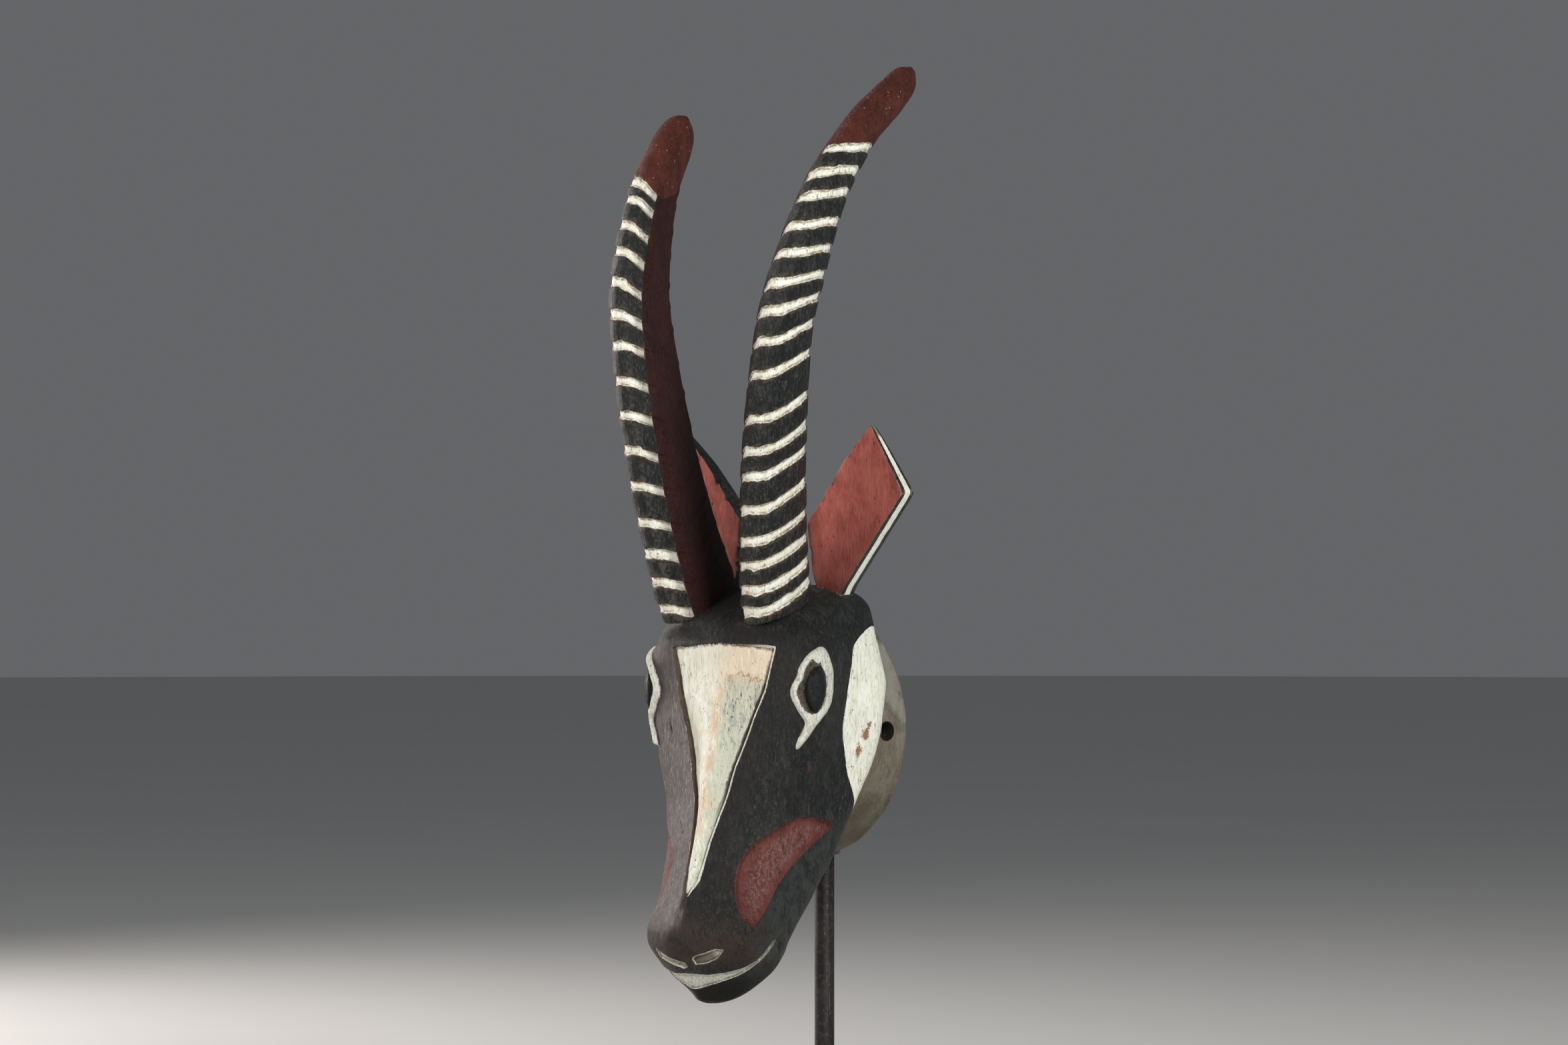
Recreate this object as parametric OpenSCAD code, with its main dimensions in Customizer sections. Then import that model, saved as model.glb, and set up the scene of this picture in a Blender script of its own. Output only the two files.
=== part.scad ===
// Carved wooden antelope mask that hangs on a round display rod.
// The mask's face looks towards -Y, +Z is up, and the rod's axis is X = 0, Y = 0. Left and
// right are as seen from in front of the face, so right is +X.
// Mask modules are drawn in the mask's own frame: X = 0 is its middle plane, Y = 0 its
// forehead, Z = 0 the underside of its lower lip.

/* [Mask] */
// height of the lower lip above the table
chin_height = 103; // [90:1:125]
// distance from the rod's axis forward to the plane of the forehead
mask_setback = 117; // [115:0.5:119]
// depth of the white forehead panel below the black surface
panel_depth = 3; // [1.5:0.5:4]
// height of the raised ring round each eye
eye_ring_height = 3; // [1:0.5:4]
// depth of the mouth groove
mouth_depth = 3; // [1.5:0.5:4]
// depth of the red crescents on the muzzle
crescent_depth = 1.5; // [1:0.5:3]

/* [Rim] */
// distance from the forehead plane back to the open edge of the rim
rim_back = 106; // [104:0.5:106.5]
// half width of the rim
rim_half_width = 74; // [73:0.5:76]
// half height of the rim
rim_half_height = 85; // [84:0.5:87]
// wall thickness of the rim at its open edge
rim_wall = 12; // [9:0.5:14]
// diameter of the hole in the rim's right side; the one in its left side is 1 mm smaller
rim_hole_d = 12; // [8:0.5:14]
// depth of the hollow, from the open edge towards the forehead
hollow_depth = 95; // [80:1:95]

/* [Horns and ears] */
// width of the white rings cut round the horns
ring_width = 5.6; // [3:0.2:7]
// depth of those rings
ring_depth = 1.8; // [0.5:0.1:2.5]
// rise of each ring from the front edge to the back edge of a horn
ring_rise = 17; // [6:1:19]
// drop of each ring from the front edge to the inner edge of a horn
ring_drop = 7.5; // [2:0.5:9]
// thickness of the ears at their outer corner
ear_thickness = 16; // [12:0.5:17]
// diameter of the round tenon under each horn
horn_tenon_d = 20; // [14:1:22]
// length of that tenon below the crown
horn_tenon_length = 46; // [44:1:50]
// diameter of the round tenon under each ear
ear_tenon_d = 10; // [7:0.5:11]
// diameter of the dowels that pin the horn tenons
horn_peg_d = 6; // [4:0.5:7]
// diameter of the dowels that pin the ear tenons
ear_peg_d = 4; // [3:0.5:5]

/* [Stand] */
// diameter of the upright rod
rod_d = 13; // [11:0.5:14]
// height of the rod's top above the table
rod_top = 356; // [352:1:357]
// width of the base plate
plate_width = 150; // [120:5:200]
// depth of the base plate
plate_length = 180; // [160:5:220]
// thickness of the base plate
plate_thickness = 10; // [8:1:14]
// how far the rod stands behind the plate's middle
plate_lead = 45; // [30:5:60]
// thickness of the felt under the plate
felt_thickness = 2; // [1:0.5:3]
// outer diameter of the boss that takes the rod
socket_d = 30; // [24:1:40]
// height of that boss above the plate
socket_height = 28; // [20:1:36]
// outer diameter of the clamp ring that carries the hanger
collar_d = 23; // [21:1:26]
// height of the clamp ring
collar_height = 16; // [12:1:16]
// diameter of the hanger's bar
arm_d = 6; // [5:0.5:6.5]
// diameter of the hanger's upright pin
pin_d = 5; // [4:0.5:5.5]
// diameter of the clamp screw's knurled head
screw_head_d = 18; // [14:1:22]
// radial clearance of the rod in its boss and in the clamp ring
rod_clearance = 0.05; // [0.03:0.01:0.08]

/* [Hidden] */
$fn = 64;
eps = 0.01;

wood_black = [0.10, 0.105, 0.11];
paint_red = [0.46, 0.17, 0.15];
wood_pale = [0.62, 0.50, 0.34];
steel_dark = [0.16, 0.16, 0.17];
steel_bright = [0.6, 0.6, 0.62];
felt_grey = [0.25, 0.25, 0.26];

// Stations of the carved head, from the lip up. Each row is a height and then the points of
// half of that level's outline: the middle of the front, the edge of the front plane, the
// brow or cheek corner, the side, the rear corner, and the middle of the back.
head_stations = [
    [0, [0, -14], [2, -13], [4, -10], [4, -8], [3, -5], [0, -4]],
    [2, [0, -21], [5, -18], [10, -12], [12, -7], [9, 0], [0, 2]],
    [8, [0, -28], [8, -22.5], [17, -11], [21, -3], [18, 6], [0, 8]],
    [20, [0, -36], [13, -33], [27, -20.5], [32, -3], [30, 14], [0, 17]],
    [31, [0, -38], [17, -37.5], [34, -26], [37.5, -4], [35, 19.5], [0, 23]],
    [37, [0, -40], [17, -39.5], [37, -27.5], [38.5, -2], [36, 22], [0, 27]],
    [43, [0, -42], [16, -41], [38, -28], [40, 0], [37.5, 24.5], [0, 31]],
    [51, [0, -42.5], [14, -41], [38, -27], [41, 2], [39, 30], [0, 38]],
    [69, [0, -40], [10, -36], [39, -16], [44, 10], [45, 39], [0, 56]],
    [89, [0, -35], [8, -29], [41, -7], [48, 18], [51, 49], [0, 77]],
    [105, [0, -30.5], [8, -24], [43, -1.5], [51.5, 25], [55, 56], [0, 82]],
    [128, [0, -24], [11, -15], [47.5, 5.5], [56.5, 34], [61, 63.5], [0, 86]],
    [151, [0, -17.5], [16, -9], [53.5, 7.5], [62, 42], [65, 75], [0, 88]],
    [169, [0, -12.5], [21, -5.5], [57.5, 9], [65, 43], [68, 80], [0, 88]],
    [184, [0, -8.5], [26, -3.5], [61, 10], [66, 44], [69, 82], [0, 88]],
    [204, [0, -4.5], [32, -1], [62, 12], [67, 46], [70, 84], [0, 88]],
    [218, [0, -2.5], [36, 1], [63, 10], [67, 45], [67, 84], [0, 88]],
    [232, [0, -1], [38, 2], [58, 12], [66, 45], [63, 84], [0, 88]],
    [244, [0, 1.5], [28, -4.5], [51, 13], [62, 50], [60, 84], [0, 90]],
    [256, [0, 12], [26, 11], [48, 26], [58, 62], [52, 88], [0, 96]],
    [264, [0, 27], [18, 28], [36, 38], [46, 66], [38, 88], [0, 95]],
    [267.5, [0, 44], [10, 45], [20, 52], [26, 66], [18, 84], [0, 88]]
];
outline_steps = 4;
station_steps = 2;
hollow_z = 174;
rim_front = 72;
rim_hole_at = [87, 173];
seat_y = 72;
seat_z = 244;
seat_d = 18;
pin_hole_d = 6.4;
pin_hole_depth = 12;
pad_thickness = 2;
pad_gap = 0.3;
// Outline of the forehead panel, as points of X and Z from the top middle round its left edge.
panel_edge = [[0, 231.5], [20, 230.5], [40.2, 228.3], [34.4, 201], [27.6, 183.5], [22, 167.5],
              [16.8, 152], [13.4, 134], [10.2, 119.6], [8, 104], [6.8, 91.5], [6, 79], [2, 70.5],
              [-1, 70.5], [-2.4, 77.5], [-3.7, 94], [-5.5, 109], [-9.4, 126], [-13, 137],
              [-16.4, 147], [-21.6, 167], [-27.8, 184], [-33.5, 201], [-38, 219.5], [-40.4, 228]];
// Outline of an eye's outer edge, and of its inner edge, round the eye's middle.
eye_outer = [[6.5, 28], [10.5, 25], [13, 18.5], [15.5, 11], [15.5, 2], [14, -8], [10.5, -14],
             [5.5, -19.5], [1.5, -24], [-1, -28], [-4.5, -32.5], [-9, -38], [-11.5, -38.5],
             [-10.5, -32.5], [-6.5, -25], [-5.5, -20.5], [-9, -16], [-13, -8], [-15, -2],
             [-13.5, 4], [-11, 8], [-10, 14], [-6, 20.5], [0, 25.5]];
eye_inner = [[2.5, 16], [6.5, 13.5], [9, 7.5], [9, 1], [8, -5], [5, -12], [1, -16],
             [-1.5, -13.5], [-4.5, -7.5], [-5.5, 0], [-5, 6.5], [-2, 12.5]];
eye_centre = [62, 14, 201.5];
eye_turn = 46;
// Outline of the red crescent on the side of the muzzle, as points of Y and Z.
crescent = [[42, 115.5], [34, 118.3], [21, 119.6], [11, 118.8], [3, 114.7], [-3.5, 109.3],
            [-9.3, 104.2], [-14.2, 97], [-18.4, 89], [-22, 79], [-25.3, 67], [-27, 56],
            [-22, 50.3], [-15, 55.4], [-7, 65], [0, 76], [7.5, 84.3], [17, 92.4], [29, 102],
            [38, 110]];
// Outlines of the right and the left nostril, as points of X and Z.
nostril_right = [[3.6, 30.3], [6.4, 26.2], [15.1, 27.6], [22.5, 31], [27.8, 36.8], [22, 37.4],
                 [15, 34.6], [7, 32.6]];
nostril_left = [[-27.4, 36.9], [-23.9, 34.8], [-13.7, 30.2], [-1.8, 27.2], [0.4, 24.6],
                [-3.3, 23.4], [-13.2, 25.9], [-24.3, 29.6]];
// Outline of the mouth groove from the side, as points of Y and Z, without its slanted floor.
mouth_top = [[5, 41.5], [4, 42.3], [-4, 34.9], [-12, 28.7], [-20, 24.5], [-28, 21.3], [-33, 20],
             [-37, 20.5], [-60, 20.5]];
mouth_floor = 7.5;
mouth_front = -33;
mouth_slope = 0.83;

// Centre line of a horn: height, X, Y, width across and depth.
horn_path = [
    [232, 27, 30, 33, 46], [259, 31.5, 17, 36, 63], [302, 38, 4.5, 35, 60],
    [359, 46.5, -6, 34.5, 54], [430, 56.5, -10, 32, 46.5], [463, 62, -5, 31, 43.5],
    [520, 69, 18, 27.5, 34]
];
horn_right_end = [[548, 72.5, 39, 24.5, 28.5], [564, 74, 55, 22.5, 27], [582, 76.5, 79, 20, 25],
                  [595, 78.2, 95, 16, 20], [600.5, 78.8, 101.5, 7, 9]];
horn_left_end = [[543, 70.5, 33.5, 25, 29], [556, 72, 45, 23, 27], [565, 73, 53.5, 20, 22],
                 [571, 73.5, 59.5, 13, 14], [573.5, 73.7, 62, 6, 6.5]];
// Heights of the white rings on the front edge of each horn.
rings_left = [250.5, 269, 287.5, 308, 331.5, 354.5, 377.5, 400, 422.5, 443, 464.5, 484, 501.5,
              518.5, 531.5];
rings_right = [249.5, 264.5, 280.5, 296.5, 316, 337, 353.5, 374, 402.5, 423, 443, 461.5, 479.5,
               497, 516.5, 532.5, 547.5];
// Section of a horn, in halves of its width and depth: the share of the ring's depth and of
// the ring's rise at each corner, after the corner's place across and along.
horn_section = [
    [-0.29, -1.00, 1, -0.2], [0.08, -1.04, 1, 0.01], [0.36, -1.01, 1, 0.02],
    [0.68, -0.82, 1, 0.14], [0.88, -0.55, 1, 0.34], [0.99, -0.22, 1, 0.55],
    [1.00, 0.12, 1, 0.74], [0.88, 0.48, 1, 0.89], [0.62, 0.76, 1, 0.97],
    [0.26, 0.95, 1, 1], [-0.16, 1.03, 0.8, 1], [-0.52, 1.00, 0, 0.9],
    [-0.76, 0.84, 0, 0.5], [-0.86, 0.48, 0, 0], [-0.88, 0.10, 0, -0.7],
    [-0.94, -0.26, 0, -1.3], [-0.98, -0.40, 0, -1.4], [-0.78, -0.66, 0.9, -1]
];
horn_tenon_at = [31, 19];
horn_foot = [-8, 244.2];
horn_foot_tilt = 19.3;
horn_peg_z = 224;
horn_peg_y = [8, 57];
horn_socket_top = 262;
horn_socket_floor = 262 - horn_tenon_length;
ear_front = 59;
// Outline of an ear from the front, as points of X and Z.
ear_outline = [[76, 371.4], [100.5, 328], [98.5, 324.5], [55.5, 267], [50, 257], [37, 257],
               [30, 276], [25.5, 307], [55, 348]];
ear_top = 371.4;
ear_widest = 328;
ear_tenon_at = [45, 65.5];
ear_tenon_z = [240, 274];
ear_peg_z = 255;
ear_peg_y = [56, 89.5];
trim_gap = 0.15;

plate_top = felt_thickness + plate_thickness;
rod_bottom = felt_thickness + 3;
arm_z = chin_height + seat_z - pad_gap - 2 * pad_thickness - arm_d / 2;
arm_reach = mask_setback - seat_y;
shoulder_z = arm_z + arm_d / 2;
boss_reach = collar_d / 2 + 6;
screw_gap = 0.35;

// Smooth curve through a table whose rows start with the height they stand for.
function row_below(t, z) =
    max([for (i = [0 : len(t) - 2]) (z >= t[i][0]) ? i : 0]);
function slope_at(t, i, k) =
    i == 0 ? (t[1][k] - t[0][k]) / (t[1][0] - t[0][0])
    : i == len(t) - 1 ? (t[i][k] - t[i - 1][k]) / (t[i][0] - t[i - 1][0])
    : (t[i + 1][k] - t[i - 1][k]) / (t[i + 1][0] - t[i - 1][0]);
function hermite(a, b, da, db, u) =
    (2 * u * u * u - 3 * u * u + 1) * a + (u * u * u - 2 * u * u + u) * da
    + (3 * u * u - 2 * u * u * u) * b + (u * u * u - u * u) * db;
function curve(t, z, k) =
    let (i = row_below(t, z), w = t[i + 1][0] - t[i][0], u = (z - t[i][0]) / w)
    hermite(t[i][k], t[i + 1][k], w * slope_at(t, i, k), w * slope_at(t, i + 1, k), u);
function knot(a, b, c, d, u) =
    0.5 * (2 * b + (c - a) * u + (2 * a - 5 * b + 4 * c - d) * u * u
    + (3 * b - a - 3 * c + d) * u * u * u);
function unit(v) = v / norm(v);

// One level of the head: a closed outline through its points, mirrored about X = 0.
function mirror_x(p) = [-p[0], p[1]];
function level_points(row) = concat(
    [for (k = [1 : 6]) row[k]],
    [for (k = [5 : -1 : 2]) mirror_x(row[k])]);
function level(row) =
    let (p = level_points(row), n = len(p))
    [for (i = [0 : n - 1], s = [0 : outline_steps - 1])
        knot(p[(i + n - 1) % n], p[i], p[(i + 1) % n], p[(i + 2) % n], s / outline_steps)];
function between(i, u) =
    let (n = len(head_stations) - 1, a = head_stations[max(i - 1, 0)], b = head_stations[i],
         c = head_stations[min(i + 1, n)], d = head_stations[min(i + 2, n)])
    [for (k = [0 : 6]) knot(a[k], b[k], c[k], d[k], u)];
head_rows = concat(
    [for (i = [0 : len(head_stations) - 2], s = [0 : station_steps - 1])
        between(i, s / station_steps)],
    [head_stations[len(head_stations) - 1]]);

// Solid skinned over a stack of loops with equal point counts, closed at both ends.
module skin(loops) {
    n = len(loops[0]);
    m = len(loops);
    points = [for (loop = loops, p = loop) p];
    sides = [for (j = [0 : m - 2], i = [0 : n - 1], h = [0, 1])
        let (a = j * n + i, b = j * n + (i + 1) % n)
        h == 0 ? [a, a + n, b] : [b, a + n, b + n]];
    ends = [[for (i = [0 : n - 1]) i], [for (i = [n - 1 : -1 : 0]) (m - 1) * n + i]];
    polyhedron(points = points, faces = concat(sides, ends), convexity = 6);
}

module on_stand() {
    translate([0, -mask_setback, chin_height])
        children();
}

module both_sides() {
    children();
    mirror([1, 0, 0])
        children();
}

// The solid outside of the head, without its rim.
module head_form() {
    skin([for (row = head_rows) [for (p = level(row)) [p[0], p[1], row[0]]]]);
}

// The same form, drawn in by the given amounts at its front and at its sides.
module head_inset(front, side) {
    translate([0, front, 0])
        scale([1 - side / 45, 1, 1])
            head_form();
}

module rim_form() {
    turns = 72;
    stack = [for (row = [[rim_front, rim_half_width - 7, rim_half_height - 5],
                         [rim_back, rim_half_width, rim_half_height]])
        [for (i = [turns - 1 : -1 : 0])
            [row[1] * cos(360 * i / turns), row[0],
             hollow_z + row[2] * sin(360 * i / turns)]]];
    skin(stack);
}

module hollow_form() {
    translate([0, rim_back, hollow_z])
        scale([rim_half_width - rim_wall, hollow_depth, rim_half_height - rim_wall])
            sphere(r = 1, $fn = 60);
}

module panel_cut() {
    difference() {
        translate([0, 60, 0])
            rotate([90, 0, 0])
                linear_extrude(height = 130)
                    polygon(panel_edge);
        head_inset(panel_depth, 0);
    }
}

module crescent_cut() {
    difference() {
        rotate([90, 0, 90])
            linear_extrude(height = 90)
                polygon(crescent);
        head_inset(crescent_depth / 2, crescent_depth);
    }
}

module nostril_cuts() {
    difference() {
        rotate([90, 0, 0])
            linear_extrude(height = 60) {
                polygon(nostril_left);
                polygon(nostril_right);
            }
        head_inset(2, 1);
    }
}

module mouth_cut() {
    floor = [for (y = [-60, 3]) [y, mouth_floor + mouth_slope * (y - mouth_front)]];
    difference() {
        translate([-60, 0, 0])
            rotate([90, 0, 90])
                linear_extrude(height = 120)
                    polygon(concat(floor, mouth_top));
        head_inset(mouth_depth, mouth_depth);
    }
}

// Prism through an eye, square to the surface it stands on.
module eye_prism(outline, grow = 0) {
    translate(eye_centre)
        rotate([0, 0, eye_turn])
            translate([0, 30, 0])
                rotate([90, 0, 0])
                    linear_extrude(height = 60)
                        offset(delta = grow)
                            polygon(outline);
}

module eye_parts() {
    out = [sin(eye_turn), -cos(eye_turn), 0];
    intersection() {
        difference() {
            eye_prism(eye_outer);
            eye_prism(eye_inner);
        }
        translate(eye_ring_height * out)
            head_form();
    }
    intersection() {
        eye_prism(eye_inner, 0.5);
        translate(eye_centre - 4 * out)
            scale([12, 12, 22])
                sphere(r = 1, $fn = 40);
    }
}

module sockets() {
    both_sides() {
        translate([horn_tenon_at[0], horn_tenon_at[1], horn_socket_floor])
            cylinder(d = horn_tenon_d + 0.2, h = 100);
        translate([ear_tenon_at[0], ear_tenon_at[1], ear_tenon_z[0]])
            cylinder(d = ear_tenon_d + 0.2, h = 60, $fn = 40);
        translate([horn_tenon_at[0], horn_peg_y[1] + 20, horn_peg_z])
            rotate([90, 0, 0])
                cylinder(d = horn_peg_d + 0.1, h = horn_peg_y[1] - horn_peg_y[0] + 20, $fn = 32);
        translate([ear_tenon_at[0], ear_peg_y[1] + 20, ear_peg_z])
            rotate([90, 0, 0])
                cylinder(d = ear_peg_d + 0.1, h = ear_peg_y[1] - ear_peg_y[0] + 20, $fn = 24);
    }
    translate([0, seat_y, seat_z - 30])
        cylinder(d = seat_d, h = 30, $fn = 48);
    translate([0, seat_y, seat_z - eps])
        cylinder(d = pin_hole_d, h = pin_hole_depth, $fn = 32);
}

module head_shell() {
    color(wood_black)
        on_stand()
            difference() {
                resize([0, 0, 0])
                    difference() {
                        union() {
                            head_form();
                            rim_form();
                            both_sides()
                                eye_parts();
                        }
                        hollow_form();
                        panel_cut();
                        both_sides()
                            crescent_cut();
                        nostril_cuts();
                        mouth_cut();
                        sockets();
                    }
                for (side = [[1, 0], [-1, 1]])
                    translate([0, rim_hole_at[0], rim_hole_at[1]])
                        rotate([0, 90 * side[0], 0])
                            cylinder(d = rim_hole_d - side[1], h = 100);
            }
}

// Places of a ring's four edges, and of the land above it, up one horn.
function lean(path, z) =
    (curve(path, z + 1, 2) - curve(path, z - 1, 2)) / 2;
function ring_seat(path, z) =
    z - curve(path, z, 4) / 2 * lean(path, z) / sqrt(1 + pow(lean(path, z), 2));
function ring_stops(path, rings) = [for (z = rings, d = [-ring_width / 2 - 0.6,
    -ring_width / 2 + 0.6, ring_width / 2 - 0.6, ring_width / 2 + 0.6])
    [ring_seat(path, z) + d, abs(d) < ring_width / 2 ? 1 : 0]];
function tip_stops(path, from) = [for (i = [0 : len(path) - 1])
    if (path[i][0] > from + 6) [path[i][0], 0]];

// A horn's outline where its centre line reaches a height, with every corner moved along the
// horn by its share of the rings' rise.
function horn_loop(path, z, cut) = [for (c = horn_section)
    let (low = path[0][0], high = path[len(path) - 1][0],
         top_fade = min(1, max(0, (high - z) / 30)),
         fade = top_fade * min(1, max(0, (z - low + 22) / 150)),
         shift = c[3] > 0 ? fade * ring_rise : top_fade * ring_drop,
         s = min(high, max(low, z + shift * c[3])),
         mid = [curve(path, s, 1), curve(path, s, 2), s],
         ahead = unit([curve(path, min(s + 1, high), 1) - curve(path, max(s - 1, low), 1),
                       curve(path, min(s + 1, high), 2) - curve(path, max(s - 1, low), 2),
                       min(s + 1, high) - max(s - 1, low)]),
         across = unit([1, 0, 0] - ahead[0] * ahead),
         back = cross(ahead, across),
         inward = cut * c[2] * ring_depth,
         w = curve(path, s, 3) / 2 - inward,
         d = curve(path, s, 4) / 2 - inward)
    mid + c[0] * w * across + c[1] * d * back];

module horn_form(path, rings) {
    stops = concat([[path[0][0], 0]], ring_stops(path, rings),
                   tip_stops(path, rings[len(rings) - 1] - 4));
    skin([for (s = stops) horn_loop(path, s[0], s[1])]);
}

module horn(path, rings) {
    resize([0, 0, 0])
        union() {
            difference() {
                horn_form(path, rings);
                translate([0, -trim_gap, trim_gap])
                    head_form();
                translate([0, horn_foot[0], horn_foot[1]])
                    rotate([horn_foot_tilt, 0, 0])
                        translate([-150, -100, -90])
                            cube([300, 300, 90]);
            }
            difference() {
                translate([horn_tenon_at[0], horn_tenon_at[1], horn_socket_floor + 0.5])
                    cylinder(d = horn_tenon_d, h = horn_socket_top - horn_socket_floor + 14);
                translate([horn_tenon_at[0], 80, horn_peg_z])
                    rotate([90, 0, 0])
                        cylinder(d = horn_peg_d + 0.1, h = 80, $fn = 32);
            }
        }
}

module horn_right() {
    color(wood_black)
        on_stand()
            horn(concat(horn_path, horn_right_end), rings_right);
}

module horn_left() {
    color(wood_black)
        on_stand()
            mirror([1, 0, 0])
                horn(concat(horn_path, horn_left_end), rings_left);
}

// An ear: a flat board with its back edges eased, thinner at its tip.
module ear() {
    middle = [58, 305];
    resize([0, 0, 0])
        union() {
            difference() {
                skin([for (k = [[0, 1], [0.1, 1], [0.9, 0.99], [1, 0.92]])
                    [for (p = ear_outline)
                        let (fall = max(0, (ear_top - p[1]) / (ear_top - ear_widest)),
                             thin = 0.3 + 0.7 * pow(min(1, fall), 0.55))
                        [middle[0] + (p[0] - middle[0]) * k[1],
                         ear_front + ear_thickness * k[0] * thin,
                         middle[1] + (p[1] - middle[1]) * k[1]]]]);
                translate([0, 0, trim_gap])
                    head_form();
            }
            difference() {
                translate([ear_tenon_at[0], ear_tenon_at[1], ear_tenon_z[0] + 0.5])
                    cylinder(d = ear_tenon_d, h = ear_tenon_z[1] - ear_tenon_z[0], $fn = 40);
                translate([ear_tenon_at[0], 100, ear_peg_z])
                    rotate([90, 0, 0])
                        cylinder(d = ear_peg_d + 0.1, h = 60, $fn = 24);
            }
        }
}

module ear_right() {
    color(paint_red)
        on_stand()
            ear();
}

module ear_left() {
    color(paint_red)
        on_stand()
            mirror([1, 0, 0])
                ear();
}

module horn_pegs() {
    color(wood_pale)
        on_stand()
            both_sides()
                translate([horn_tenon_at[0], horn_peg_y[1], horn_peg_z])
                    rotate([90, 0, 0])
                        cylinder(d = horn_peg_d, h = horn_peg_y[1] - horn_peg_y[0] - 0.5);
}

module ear_pegs() {
    color(wood_pale)
        on_stand()
            both_sides()
                translate([ear_tenon_at[0], ear_peg_y[1], ear_peg_z])
                    rotate([90, 0, 0])
                        cylinder(d = ear_peg_d, h = ear_peg_y[1] - ear_peg_y[0] - 0.5);
}

module hanger_collar() {
    color(steel_dark)
        difference() {
            union() {
                translate([0, 0, arm_z - collar_height / 2])
                    cylinder(d = collar_d, h = collar_height);
                translate([0, 0, arm_z])
                    rotate([-90, 0, 0])
                        cylinder(d = 12, h = boss_reach);
            }
            translate([0, 0, arm_z - collar_height])
                cylinder(r = rod_d / 2 + rod_clearance, h = 2 * collar_height);
            translate([0, 0, arm_z])
                rotate([-90, 0, 0])
                    cylinder(r = 2.55, h = boss_reach + 1);
            translate([0, 0, arm_z])
                rotate([90, 0, 0])
                    cylinder(d = arm_d, h = collar_d);
        }
}

// Bar, shoulder disc and upright pin of the hanger.
module hanger_arm() {
    color(steel_dark) {
        translate([0, -rod_d / 2 - 1, arm_z])
            rotate([90, 0, 0])
                cylinder(d = arm_d, h = arm_reach - rod_d / 2 - 1);
        translate([0, -arm_reach, arm_z - arm_d / 2 - 1])
            cylinder(d = arm_d + 3, h = arm_d + 2);
        translate([0, -arm_reach, shoulder_z - 0.5])
            cylinder(d = 15, h = pad_thickness + 0.5);
        translate([0, -arm_reach, arm_z + arm_d / 2])
            cylinder(d = pin_d, h = 2 * pad_thickness + pad_gap + 9.5);
    }
}

module hanger_pad() {
    color(felt_grey)
        translate([0, -arm_reach, shoulder_z + pad_thickness])
            difference() {
                cylinder(d = 15, h = pad_thickness);
                translate([0, 0, -1])
                    cylinder(d = pin_d, h = pad_thickness + 2);
            }
}

module collar_screw() {
    tip = rod_d / 2 + screw_gap;
    color(steel_bright)
        translate([0, 0, arm_z])
            rotate([-90, 0, 0]) {
                translate([0, 0, tip])
                    cylinder(r = 2.5, h = boss_reach - tip + 2);
                translate([0, 0, boss_reach + 1])
                    cylinder(d1 = 8, d2 = screw_head_d, h = 3);
                translate([0, 0, boss_reach + 4])
                    cylinder(d = screw_head_d, h = 6);
                translate([0, 0, boss_reach + 10])
                    cylinder(d1 = screw_head_d, d2 = screw_head_d - 2, h = 1);
            }
}

module stand_rod() {
    color(steel_dark)
        translate([0, 0, rod_bottom])
            cylinder(d = rod_d, h = rod_top - rod_bottom);
}

module rod_cap() {
    color(steel_dark)
        translate([0, 0, rod_top])
            cylinder(d1 = rod_d, d2 = rod_d - 3, h = 3);
}

module rest_sleeve() {
    color(felt_grey)
        translate([0, 0, chin_height + hollow_z - rim_half_height + 1])
            difference() {
                cylinder(r = mask_setback - rim_back - 0.4, h = 20);
                translate([0, 0, -1])
                    cylinder(d = rod_d, h = 22);
            }
}

module rod_socket() {
    color(steel_dark)
        difference() {
            union() {
                translate([0, 0, plate_top])
                    cylinder(d = socket_d, h = socket_height - 2);
                translate([0, 0, plate_top + socket_height - 2])
                    cylinder(d1 = socket_d, d2 = socket_d - 4, h = 2);
            }
            translate([0, 0, plate_top - 1])
                cylinder(r = rod_d / 2 + rod_clearance, h = socket_height + 2);
            translate([0, 0, plate_top + socket_height / 2])
                rotate([-90, 0, 0])
                    cylinder(r = 2.5, h = socket_d);
        }
}

module socket_screw() {
    tip = rod_d / 2 + screw_gap;
    color(steel_bright)
        translate([0, tip, plate_top + socket_height / 2])
            rotate([-90, 0, 0])
                difference() {
                    cylinder(r = 2.5, h = socket_d / 2 - tip - 1.5);
                    translate([0, 0, socket_d / 2 - tip - 4])
                        cylinder(r = 1.25, h = 5, $fn = 6);
                }
}

module rounded_slab(width, depth, height, corner) {
    translate([-width / 2 + corner, -depth / 2, 0])
        cube([width - 2 * corner, depth, height]);
    translate([-width / 2, -depth / 2 + corner, 0])
        cube([width, depth - 2 * corner, height]);
    for (x = [-1, 1], y = [-1, 1])
        translate([x * (width / 2 - corner), y * (depth / 2 - corner), 0])
            cylinder(r = corner, h = height);
}

module stand_plate() {
    color(steel_dark)
        difference() {
            translate([0, -plate_lead, felt_thickness])
                rounded_slab(plate_width, plate_length, plate_thickness, 4);
            translate([0, 0, rod_bottom - 0.4])
                cylinder(r = rod_d / 2 + rod_clearance, h = plate_thickness);
        }
}

module base_felt() {
    color(felt_grey)
        translate([0, -plate_lead, 0])
            rounded_slab(plate_width - 4, plate_length - 4, felt_thickness, 3);
}

head_shell();
horn_left();
horn_right();
ear_left();
ear_right();
horn_pegs();
ear_pegs();
hanger_collar();
hanger_arm();
hanger_pad();
collar_screw();
stand_rod();
rod_cap();
rest_sleeve();
rod_socket();
socket_screw();
stand_plate();
base_felt();
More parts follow.
